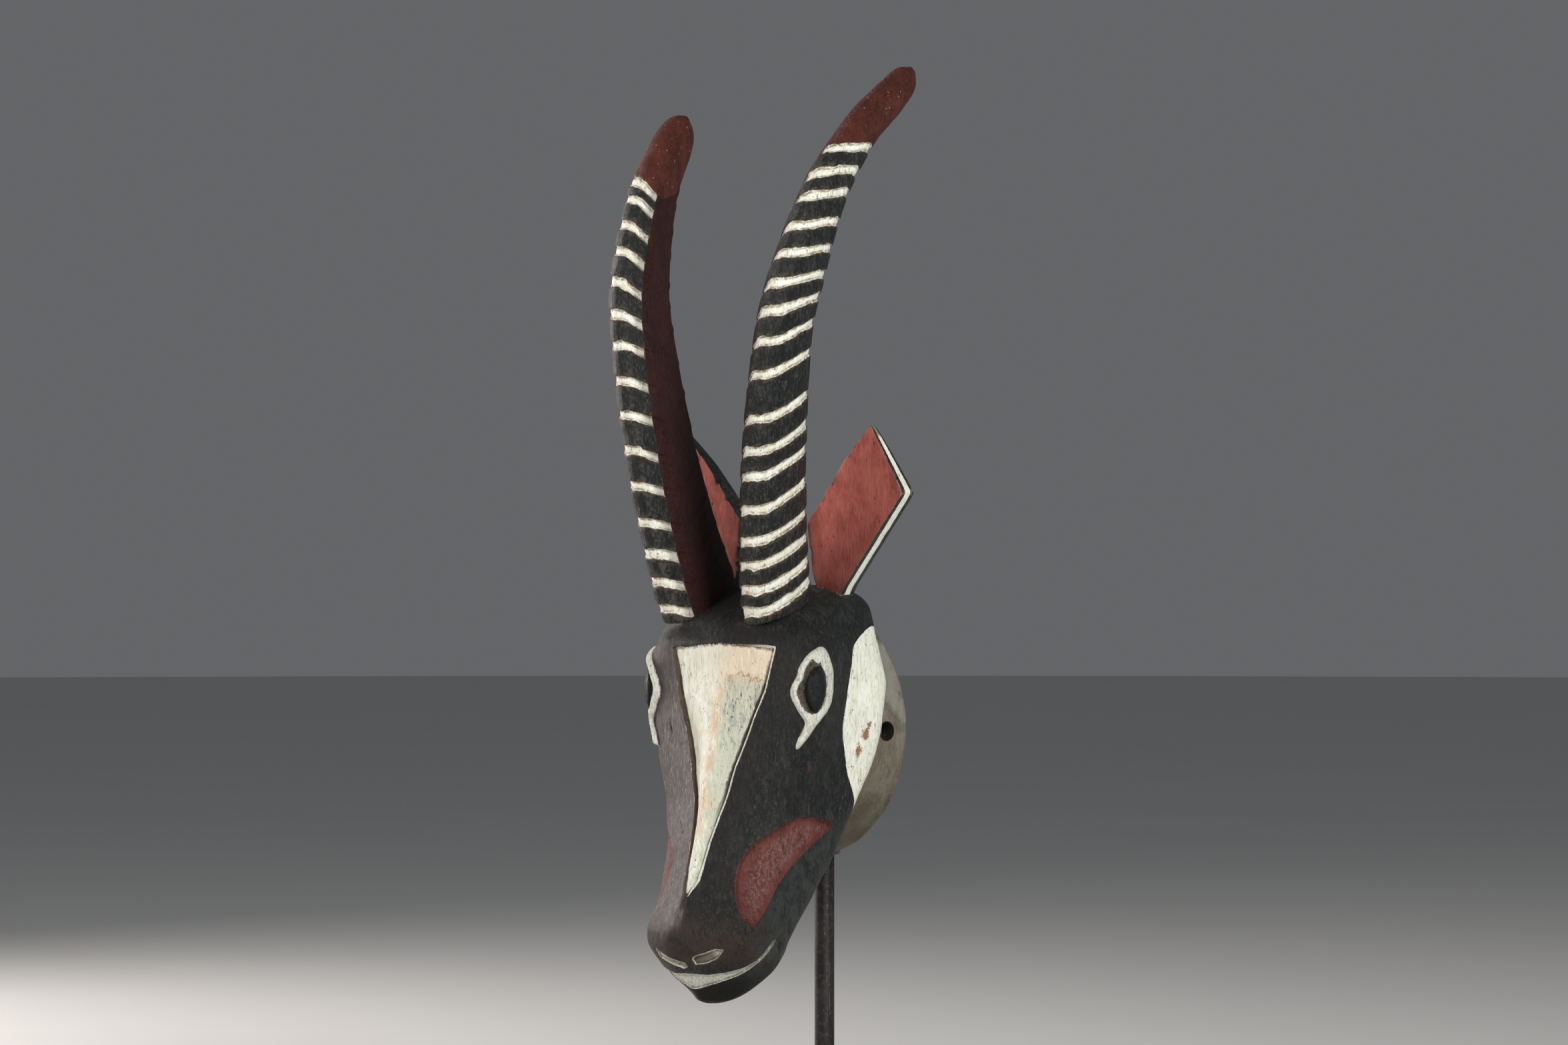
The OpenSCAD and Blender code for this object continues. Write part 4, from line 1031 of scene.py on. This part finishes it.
def carve_head(points, f):
    """Moves the head's points to carve it. f holds their fields."""
    p = points.copy()
    x, y, z = points.T
    side = np.sign(x)
    # hand-carved unevenness, weaker where the details are
    lift = (0.28 * noise(points, 13, 3, 2) + 0.10 * noise(points, 4, 5, 2)
            + 0.09 * noise(points, (2.0, 2.0, 16.0), 7, 2))
    away = np.stack([x * 0.9, y - 40, np.zeros_like(x)], 1)
    away /= np.linalg.norm(away, axis=1, keepdims=True) + 1e-9
    p += away * (lift * smooth(0, 12, z) * smooth(268, 256, z))[:, None]
    # forehead panel: deepest along its long edges, shallow at both ends
    deep = 0.45 + 0.55 * smooth(229, 206, z) * smooth(74, 112, z)
    w = smooth(0.3, -1.5, f["panel"]) * deep
    trough = (PANEL_TROUGH * smooth(-0.4, -1.2, f["panel"]) * smooth(-3.6, -1.8, f["panel"])
              * (x > 2) * deep)
    rough = 0.22 * noise(points, (2.2, 2.2, 9), 11, 2) * smooth(-0.5, -2.5, f["panel"])
    p[:, 1] += PANEL_DEPTH * w + trough + rough
    # crescents: a cut edge above, fading out below
    upper = line_distance(y, z, CRESCENT_UPPER)
    lower = line_distance(y, z, CRESCENT_LOWER)
    fall = smooth(0.0, 0.75, lower / (upper + lower + 1e-6))
    w = smooth(0.3, -1.0, f["crescent"]) * (0.25 + 0.75 * fall) * CRESCENT_DEPTH
    p[:, 0] -= side * w * 0.93
    p[:, 1] += 0.5 * w
    # nostrils and mouth
    w = smooth(0.3, -1.2, f["nostril"])
    p[:, 1] += NOSTRIL_DEPTH * w
    w = smooth(0.3, -0.9, f["mouth"])
    p[:, 1] += MOUTH_DEPTH * w
    p[:, 0] *= 1 - MOUTH_DEPTH / 45 * w
    # raised eye ring, a moat inside it, and the eyeball
    across, up, out = eye_frame(points)
    outward = np.stack([side * math.sin(EYE_TURN), np.full_like(x, -math.cos(EYE_TURN)),
                        np.zeros_like(x)], 1)
    wobble = 0.25 * noise(points, 3, 13, 2)
    outer = outline_distance(across, up, rounded(EYE_OUTER))
    inner = f["eyeball"]
    rise = (EYE_RISE + wobble) * smooth(0.2, -1.5, outer)
    slope = np.clip(-f["eyewall"], 0, 5)
    rise = rise - np.where(inner > -1.5, 0.85 * slope, 0)
    dome = -1.2 + 9.0 * np.sqrt(np.clip(1 - ((across - 1.8) / 8.8) ** 2 - (up / 18.5) ** 2, 0, 1))
    target = np.maximum(dome - out, -1.0)
    w = smooth(0.0, -1.3, inner)
    rise = rise * (1 - w) + target * w
    rise = np.where(out > -25, rise, 0)
    p += outward * rise[:, None]
    # cracks
    w = smooth(0.9, 0.1, f["crack"])
    p[:, 1] += CRACK_DEPTH * w
    return p


def rim_loops():
    """The oval flange behind the face, with rounded edges."""
    turn = np.arange(220) * 2 * math.pi / 220
    rows = [(72, 67, 80), (74, 67.6, 80.4)]
    rows += [(y, 67 + 7 * (y - 72) / 34, 80 + 5 * (y - 72) / 34) for y in np.arange(76, 103.2, 1.5)]
    rows += [(104, 73.4, 84.4), (105, 73.0, 84.0), (105.7, 72.2, 83.2), (106, 71, 82)]
    loops = []
    for y, half_x, half_z in rows:
        ring = np.stack([half_x * np.cos(turn), np.full_like(turn, y),
                         RIM_Z + half_z * np.sin(turn)], 1)
        uneven = 0.5 * noise(ring, 16, 23, 2) - 0.25
        ring[:, 0] += np.cos(turn) * uneven
        ring[:, 2] += np.sin(turn) * uneven
        loops.append(ring)
    return loops


def hollow_loops():
    """The hollowed inside, with the facets a gouge leaves and a rounded lip."""
    turn = np.arange(190) * 2 * math.pi / 190
    loops = []
    polar = np.concatenate([np.linspace(1.2, 88, 62), [90]])
    seeds = np.random.default_rng(5).normal(size=(520, 3))  # directions of the gouge's cuts
    seeds /= np.linalg.norm(seeds, axis=1, keepdims=True)
    for angle in np.radians(polar):
        ring = np.stack([np.sin(angle) * np.cos(turn), np.full_like(turn, -np.cos(angle)),
                         np.sin(angle) * np.sin(turn)], 1)
        gap = np.sort(np.linalg.norm(ring[:, None] - seeds[None], axis=2), axis=1)
        scoop = np.clip(gap[:, 1] - gap[:, 0], 0, 0.08) / 0.08
        grow = 1 + 0.010 * scoop * smooth(math.radians(90), math.radians(80), angle)
        flare = 1 + 0.022 * smooth(math.radians(87), math.radians(90), angle)
        ring = ring * HOLLOW * (grow * flare)[:, None]
        loops.append(ring + (0, RIM_BACK, RIM_Z))
    loops.append(loops[-1] + (0, 4, 0))
    return loops


def share_paints(head):
    """Gives the brow and the jaw their own paints. Both match the sides where they meet."""
    mesh = head.data
    index = read(mesh.polygons, "material_index", np.int32)
    first = read(mesh.polygons, "loop_start", np.int32)
    corner = read(mesh.loops, "vertex_index", np.int32)[first]
    panel = read(mesh.attributes["panel"].data, "value")
    painted = index == SIDE_PAINT
    index[painted & (panel[corner] < BROW_REACH)] = BROW_PAINT
    index[painted & (points_of(head)[corner, 2] * 1000 - CHIN < JAW_TOP)] = JAW_PAINT
    mesh.polygons.foreach_set("material_index", index)


def build_head(materials):
    """The hollow head, and the solid one that it was cut from."""
    base = head_loops()
    flat = base.reshape(-1, 3)
    fields = head_fields(flat)
    carved = carve_head(flat, fields)
    head = loops_object("head_carving", carved.reshape(base.shape), materials)
    blank = head.copy()
    blank.data = head.data.copy()
    combine(head, loops_object("rim", rim_loops(), materials, RIM_WOOD), "UNION")
    combine(head, loops_object("hollow", hollow_loops(), materials, RIM_WOOD), "DIFFERENCE")
    for side in (1, -1):
        cut_socket(head, side, HORN_TENON, 48)
        cut_socket(head, side, EAR_TENON, 32)
        cut_bar(head, (0, *RIM_HOLE), (side * 100, *RIM_HOLE), RIM_HOLE_RADIUS[side], 40, RIM_WOOD)
    cut_bar(head, (0, SEAT_Y, SEAT_Z - 30), (0, SEAT_Y, SEAT_Z), SEAT_RADIUS, 40, RIM_WOOD)
    cut_bar(head, (0, SEAT_Y, SEAT_Z - 0.01), (0, SEAT_Y, SEAT_Z + PIN_BORE_DEPTH), PIN_BORE, 32,
            RIM_WOOD)
    carry_fields(head, to_row(carved), fields)
    place = points_of(head) * 1000 + (0, SETBACK, -CHIN)
    from_axis = np.hypot(place[:, 1] - RIM_HOLE[0], place[:, 2] - RIM_HOLE[1])
    set_field(head, "bore", np.where(np.abs(place[:, 0]) > 50, from_axis, FAR))
    bend_field(head)
    share_paints(head)
    shade(head, 40)
    return head, blank


# ---------------------------------------------------------------- horns

def table_curve(table, z, column):
    """Smooth curve through a table whose rows start with a height, as in the CAD."""
    t = np.array(table, float)
    keys, values = t[:, 0], t[:, column]
    slope = np.empty_like(values)
    slope[1:-1] = (values[2:] - values[:-2]) / (keys[2:] - keys[:-2])
    slope[0] = (values[1] - values[0]) / (keys[1] - keys[0])
    slope[-1] = (values[-1] - values[-2]) / (keys[-1] - keys[-2])
    i = np.clip(np.searchsorted(keys, z, side="right") - 1, 0, len(keys) - 2)
    w = keys[i + 1] - keys[i]
    u = (z - keys[i]) / w
    return ((2 * u ** 3 - 3 * u ** 2 + 1) * values[i] + (u ** 3 - 2 * u ** 2 + u) * w * slope[i]
            + (3 * u ** 2 - 2 * u ** 3) * values[i + 1] + (u ** 3 - u ** 2) * w * slope[i + 1])


def section_corners(steps=5):
    """The horn's section with its corners slightly rounded, and each point's corner number."""
    corners = np.array(HORN_SECTION, float)
    count = len(corners)
    place = np.arange(count * steps) / steps
    low = np.floor(place).astype(int)
    u = (place - low)[:, None]
    points = corners[low] * (1 - u) + corners[(low + 1) % count] * u
    for _ in range(2):
        points = 0.5 * points + 0.25 * (np.roll(points, 1, 0) + np.roll(points, -1, 0))
    return points, place


def horn_points(path, z, corners, cut):
    """Points of one loop. cut is the share of the ring's depth at each corner."""
    low, high = path[0][0], path[-1][0]
    top_fade = min(1, max(0, (high - z) / 30))
    fade = top_fade * min(1, max(0, (z - low + 22) / 150))
    shift = np.where(corners[:, 3] > 0, fade * RING_RISE, top_fade * RING_DROP)
    s = np.clip(z + shift * corners[:, 3], low, high)
    mid = np.stack([table_curve(path, s, 1), table_curve(path, s, 2), s], 1)
    above, below = np.minimum(s + 1, high), np.maximum(s - 1, low)
    ahead = np.stack([table_curve(path, above, 1) - table_curve(path, below, 1),
                      table_curve(path, above, 2) - table_curve(path, below, 2),
                      above - below], 1)
    ahead /= np.linalg.norm(ahead, axis=1, keepdims=True)
    across = np.array([1, 0, 0]) - ahead[:, :1] * ahead
    across /= np.linalg.norm(across, axis=1, keepdims=True)
    back = np.cross(ahead, across)
    inward = cut * corners[:, 2] * RING_DEPTH
    half_w = table_curve(path, s, 3) / 2 - inward
    half_d = table_curve(path, s, 4) / 2 - inward
    return (mid + (corners[:, 0] * half_w)[:, None] * across
            + (corners[:, 1] * half_d)[:, None] * back)


def ring_seat(path, z):
    """Heights on the horn's middle line of rings whose fronts are at heights z."""
    z = np.asarray(z, float)
    lean = (table_curve(path, z + 1, 2) - table_curve(path, z - 1, 2)) / 2
    return z - table_curve(path, z, 4) / 2 * lean / np.sqrt(1 + lean ** 2)


def below_foot(paint):
    """Everything under the sloping plane that a horn stands on."""
    y, z = np.array([[-100, -90], [200, -90], [200, 0], [-100, 0]]).T
    cos, sin = math.cos(HORN_FOOT_TILT), math.sin(HORN_FOOT_TILT)
    turned = np.stack([0 * y, y * cos - z * sin + HORN_FOOT[0], y * sin + z * cos + HORN_FOOT[1]], 1)
    return loops_object("foot", [turned - (150, 0, 0), turned + (150, 0, 0)], [paint])


def build_horn(side, paint, blank):
    """A ringed horn with its tenon. The right one is side 1."""
    path = HORN + HORN_ENDS[side]
    seats = ring_seat(path, RINGS[side])
    corners, place = section_corners()
    low, high = path[0][0], path[-1][0]
    levels = np.arange(low, high, 0.85).tolist() + [high]
    loops, ring_field, inner_field, tip_field = [], [], [], []
    last = seats[-1] + RING_WIDTH / 2
    for z in levels:
        guide = np.stack([np.full(len(place), 50.0 * side), place * 5, np.full(len(place), z)], 1)
        sway = 0.9 * noise(guide, (9, 14, 30), 31, 2)
        width = RING_WIDTH / 2 + 0.75 * noise(guide, (9, 4.5, 12), 37, 3)
        away = np.abs((z + sway)[:, None] - seats[None]).min(1) - width
        cut = smooth(0.7, -0.7, away)
        loop = horn_points(path, z, corners, cut)
        arc = np.r_[0, np.cumsum(np.linalg.norm(np.diff(loop, axis=0), axis=1))]
        red_to = np.interp(z, *np.array(HORN_RED_TO).T)
        start, end = np.interp((HORN_RED_FROM, red_to), place, arc)
        inner = np.maximum(start - arc, arc - end)
        loops.append(loop)
        ring_field.append(away)
        inner_field.append(inner)
        tip_field.append(z + sway - last)
    for share, lift in ((0.8, 0.9), (0.5, 1.5), (0.2, 1.8)):
        top = loops[len(levels) - 1]
        centre = top.mean(0)
        loops.append(centre + (top - centre) * share + (0, 0.7 * lift, lift))
        for rows in (ring_field, inner_field, tip_field):
            rows.append(rows[-1])
    base = np.array(loops)
    flat = base.reshape(-1, 3)
    out = flat - np.repeat(base.mean(1), base.shape[1], 0)
    out /= np.linalg.norm(out, axis=1, keepdims=True) + 1e-9
    away = np.concatenate(ring_field)
    lift = (0.22 * noise(flat, 9, 41, 2) + 0.10 * noise(flat, (2.2, 2.2, 14), 43, 2)
            + 0.22 * noise(flat, 2.2, 47, 2) * smooth(0.3, -0.5, away) + 0.45 * smooth(0.2, -2.4, away))
    end = smooth(high, high - 8, flat[:, 2])
    flat = (flat + out * (lift * end)[:, None]) * (side, 1, 1)
    horn = loops_object("horn_carving_" + SIDES[side], flat.reshape(base.shape), [paint])
    cut_by_head(horn, blank, (0, -HORN_GAP, HORN_GAP))
    combine(horn, below_foot(paint), "DIFFERENCE")
    add_tenon(horn, side, HORN_TENON, 0, 80, paint)
    fields = {"ring": away, "inner": np.concatenate(inner_field), "tip": np.concatenate(tip_field)}
    carry_fields(horn, to_row(flat), {name: np.clip(f, -FAR, FAR) for name, f in fields.items()})
    bend_field(horn)
    shade(horn, 45)
    return horn


# ---------------------------------------------------------------- ears

def ear_outline():
    """Closed outline of an ear, evenly spaced, with its place along the corners."""
    corners = np.array(EAR, float)
    points, places = [], []
    for i, (a, b) in enumerate(zip(corners, np.roll(corners, -1, 0))):
        steps = max(2, round(np.linalg.norm(b - a) / 1.3))
        for s in range(steps):
            points.append(a + (b - a) * s / steps)
            places.append(i + s / steps)
    points = np.array(points)
    for _ in range(2):
        points = 0.5 * points + 0.25 * (np.roll(points, 1, 0) + np.roll(points, -1, 0))
    return points, np.array(places)


def build_ear(side, paint, blank):
    """A leaf-shaped ear with its tenon. The right one is side 1."""
    outline, place = ear_outline()
    middle = np.array(EAR_MIDDLE, float)
    front = [(0.0, k) for k in np.linspace(0.03, 0.98, 34)] + [(0.01, 0.993)]
    edge = [(0.04, 1.0)] + [(d, 1.0 - 0.008 * d) for d in np.arange(0.1, 0.86, 0.07)]
    edge += [(0.9, 0.988), (0.95, 0.978), (0.985, 0.96)]
    back = [(1.0, k) for k in np.linspace(0.93, 0.03, 30)]
    # chips knocked out of the inner edge, between two of the outline's corners
    chipped = smooth(5.6, 6.0, place) * smooth(8.9, 8.5, place)
    around = np.stack([outline[:, 0], 0 * place, outline[:, 1]], 1)
    bite = np.clip(noise(around, 5.5, 61, 3) - 0.25, 0, 1)
    loops, sides, chips = [], [], []
    for depth, scale in front + edge + back:
        flat = middle + (outline - middle) * scale
        fall = np.clip((EAR[0][1] - flat[:, 1]) / (EAR[0][1] - EAR[1][1]), 0, 1)
        thin = 0.3 + 0.7 * fall ** 0.55
        loop = np.stack([flat[:, 0], EAR_FRONT + EAR_THICK * depth * thin, flat[:, 1]], 1)
        near = smooth(0.93, 1.0, scale) * smooth(0.4, 0.05, depth)
        inward = middle - flat
        inward /= np.linalg.norm(inward, axis=1, keepdims=True) + 1e-9
        pull = (1.5 * bite * chipped * near)[:, None]
        loop[:, [0, 2]] += inward * pull
        chips.append(np.clip(2.5 * bite, 0, 1) * chipped * smooth(0.88, 0.97, scale) * (depth < 0.3))
        loops.append(loop)
        away = EAR_THICK * depth if scale > 0.95 else EAR_THICK + 40 * (1 - scale)
        sides.append(np.full(len(outline), away))
        if depth < 0.02:
            sides[-1] = np.linalg.norm(outline - middle, axis=1) * (scale - 1.0)
    base = np.array(loops)
    rows, count = base.shape[:2]
    flat = base.reshape(-1, 3)
    grain = 0.16 * noise(flat, (2.6, 4, 20), 67, 2) + 0.22 * noise(flat, 11, 71, 2)
    dent = np.clip(noise(flat, (3.2, 4, 4.5), 73, 2) - 0.75, 0, 1) * 1.4
    facing = np.repeat([1.0] * len(front) + [0.0] * len(edge) + [-1.0] * len(back), count)
    push = facing * (dent + grain) + 0.25 * (facing > 0)
    flat = (flat + np.stack([0 * push, push, 0 * push], 1)) * (side, 1, 1)
    outer = np.tile((place < 4.3).astype(float), rows)
    ear = loops_object("ear_carving_" + SIDES[side], flat.reshape(base.shape), [paint])
    cut_by_head(ear, blank)
    add_tenon(ear, side, EAR_TENON, 40, 100, paint)
    carry_fields(ear, to_row(flat), {"side": np.clip(np.concatenate(sides), -FAR, FAR),
                                     "outer": outer, "chip": np.concatenate(chips)})
    for name in ("outer", "chip"):  # masks from 0 to 1, so the cuts' FAR becomes 0
        layer = ear.data.attributes[name].data
        values = read(layer, "value")
        layer.foreach_set("value", np.where(values > 1.5, 0, values).astype(np.float32))
    bend_field(ear)
    shade(ear, 45)
    return ear


# ---------------------------------------------------------------- clamp screw with a knurled head

def build_screw(metal):
    """The clamp screw about the Y axis, with its knurls and a slight dome."""
    low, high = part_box("collar_screw")
    centre_z = (low.z + high.z) / 2 * 1000
    top = high.y * 1000
    turn = np.arange(144) * 2 * math.pi / 144
    knurl = 0.5 + 0.5 * np.cos(36 * turn)
    # along Y, radius and share of the knurls' depth
    profile = [(low.y * 1000, 1.2, 0), (low.y * 1000 + 0.4, 2.2, 0), (low.y * 1000 + 0.6, 2.5, 0),
               (top - 10.1, 2.5, 0), (top - 10, 3.6, 0), (top - 9.7, 4.0, 0), (top - 7.6, 8.4, 0),
               (top - 7.2, 8.8, 1), (top - 6.8, 9.0, 1), (top - 1.4, 9.0, 1), (top - 1.0, 8.8, 1),
               (top - 0.5, 8.2, 0), (top - 0.1, 7.2, 0), (top, 5.5, 0), (top - 0.2, 3.0, 0),
               (top - 0.3, 0.6, 0)]
    loops = []
    for y, radius, cut in profile:
        r = radius - 0.45 * cut * knurl
        loops.append(np.stack([r * np.cos(turn), np.full_like(turn, y + SETBACK),
                               centre_z - CHIN + r * np.sin(turn)], 1))
    screw = loops_object("clamp_screw_knurled", loops, [metal])
    shade(screw, 40)
    return screw


# ---------------------------------------------------------------- the object

head, blank = build_head([side_material(), rim_material(), brow_material(), jaw_material()])
horn_paint, ear_paint = horn_material(), ear_material()
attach(head, "mask")
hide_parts("head_shell")
for side, word in SIDES.items():
    horn = build_horn(side, horn_paint, blank)
    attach(horn, "mask")
    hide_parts("horn_" + word)
    ear = build_ear(side, ear_paint, blank)
    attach(ear, "mask")
    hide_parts("ear_" + word)
bpy.data.objects.remove(blank)

steel, turned, cloth = dark_steel(), bright_steel(), felt()
screw = build_screw(turned)
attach(screw, "clamp_screw")
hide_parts("collar_screw")

for names, material in (
    (("horn_pegs", "ear_pegs"), peg_material()),
    (("hanger_collar", "hanger_arm", "stand_rod", "rod_cap", "rod_socket", "stand_plate"), steel),
    (("socket_screw",), turned),
    (("hanger_pad", "rest_sleeve", "base_felt"), cloth),
):
    for name in names:
        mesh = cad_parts[name].data
        mesh.materials.clear()
        mesh.materials.append(material)

# ---------------------------------------------------------------- floor, light and camera

def floor_material():
    p = Paint("floor")
    color = p.mix(p.noise(300, 3), (0.62, 0.62, 0.61), (0.66, 0.66, 0.65))
    return p.finish(color, p.blend(p.noise(60, 2), 0.7, 0.8), p.noise(4, 3), 0.0001)


FLOOR_RADIUS, FLOOR_SIDES = 12000, 96
turns = np.arange(FLOOR_SIDES) * math.pi / (FLOOR_SIDES / 2)
ring = [(FLOOR_RADIUS * math.cos(a), FLOOR_RADIUS * math.sin(a)) for a in turns]
rows = [[(k * x, k * y + SETBACK, -CHIN) for x, y in ring] for k in (0.02, 0.1, 0.3, 1.0)]
points = [p for row in rows for p in row]
faces = [f[::-1] for f in tube_faces(len(rows), FLOOR_SIDES)[:-1]]
floor_mesh = bpy.data.meshes.new("floor")
floor_mesh.from_pydata(to_row(points).tolist(), [], faces)
floor_mesh.materials.append(floor_material())
floor = bpy.data.objects.new("floor", floor_mesh)
bpy.context.scene.collection.objects.link(floor)

world = bpy.data.worlds.new("studio")
bpy.context.scene.world = world
world.use_nodes = True
sky = world.node_tree.nodes["Background"].inputs
sky["Color"].default_value = (0.80, 0.82, 0.86, 1)
sky["Strength"].default_value = 0.16

AIM = np.array([0, -0.06, 0.40])  # what the lamps look at, the middle of the mask
VIEW_TURN = math.radians(35)  # the camera's azimuth
VIEW_FROM = (2.21744, -3.21336, 0.41131)


def lamp(name, azimuth, elevation, distance, size, watts, color):
    """A soft box that looks at the mask. Azimuth 0 is in front of it, 90 at its right."""
    data = bpy.data.lights.new(name, "AREA")
    data.shape = "RECTANGLE"
    data.size, data.size_y = size
    data.energy, data.color = watts, color
    obj = bpy.data.objects.new(name, data)
    bpy.context.scene.collection.objects.link(obj)
    a, e = math.radians(azimuth), math.radians(elevation)
    away = np.array([math.sin(a) * math.cos(e), -math.cos(a) * math.cos(e), math.sin(e)])
    obj.location = AIM + distance * away
    obj.rotation_euler = Vector(-away).to_track_quat("-Z", "Y").to_euler()


lamp("front", -35, 30, 2.0, (0.9, 0.9), 23, (1.0, 0.95, 0.90))
lamp("left", -95, 14, 1.8, (0.5, 1.1), 24, (1.0, 0.92, 0.88))
lamp("right", 64, 22, 1.9, (0.6, 1.1), 34, (0.96, 1.0, 0.98))

camera_data = bpy.data.cameras.new("camera")
camera_data.lens, camera_data.sensor_width = 136.0, 36.0
camera_data.clip_start, camera_data.clip_end = 0.1, 60
camera = bpy.data.objects.new("camera", camera_data)
camera.location = VIEW_FROM
camera.rotation_euler = (math.pi / 2, 0, VIEW_TURN)
bpy.context.scene.collection.objects.link(camera)
bpy.context.scene.camera = camera
bpy.context.scene.view_settings.view_transform = "Standard"
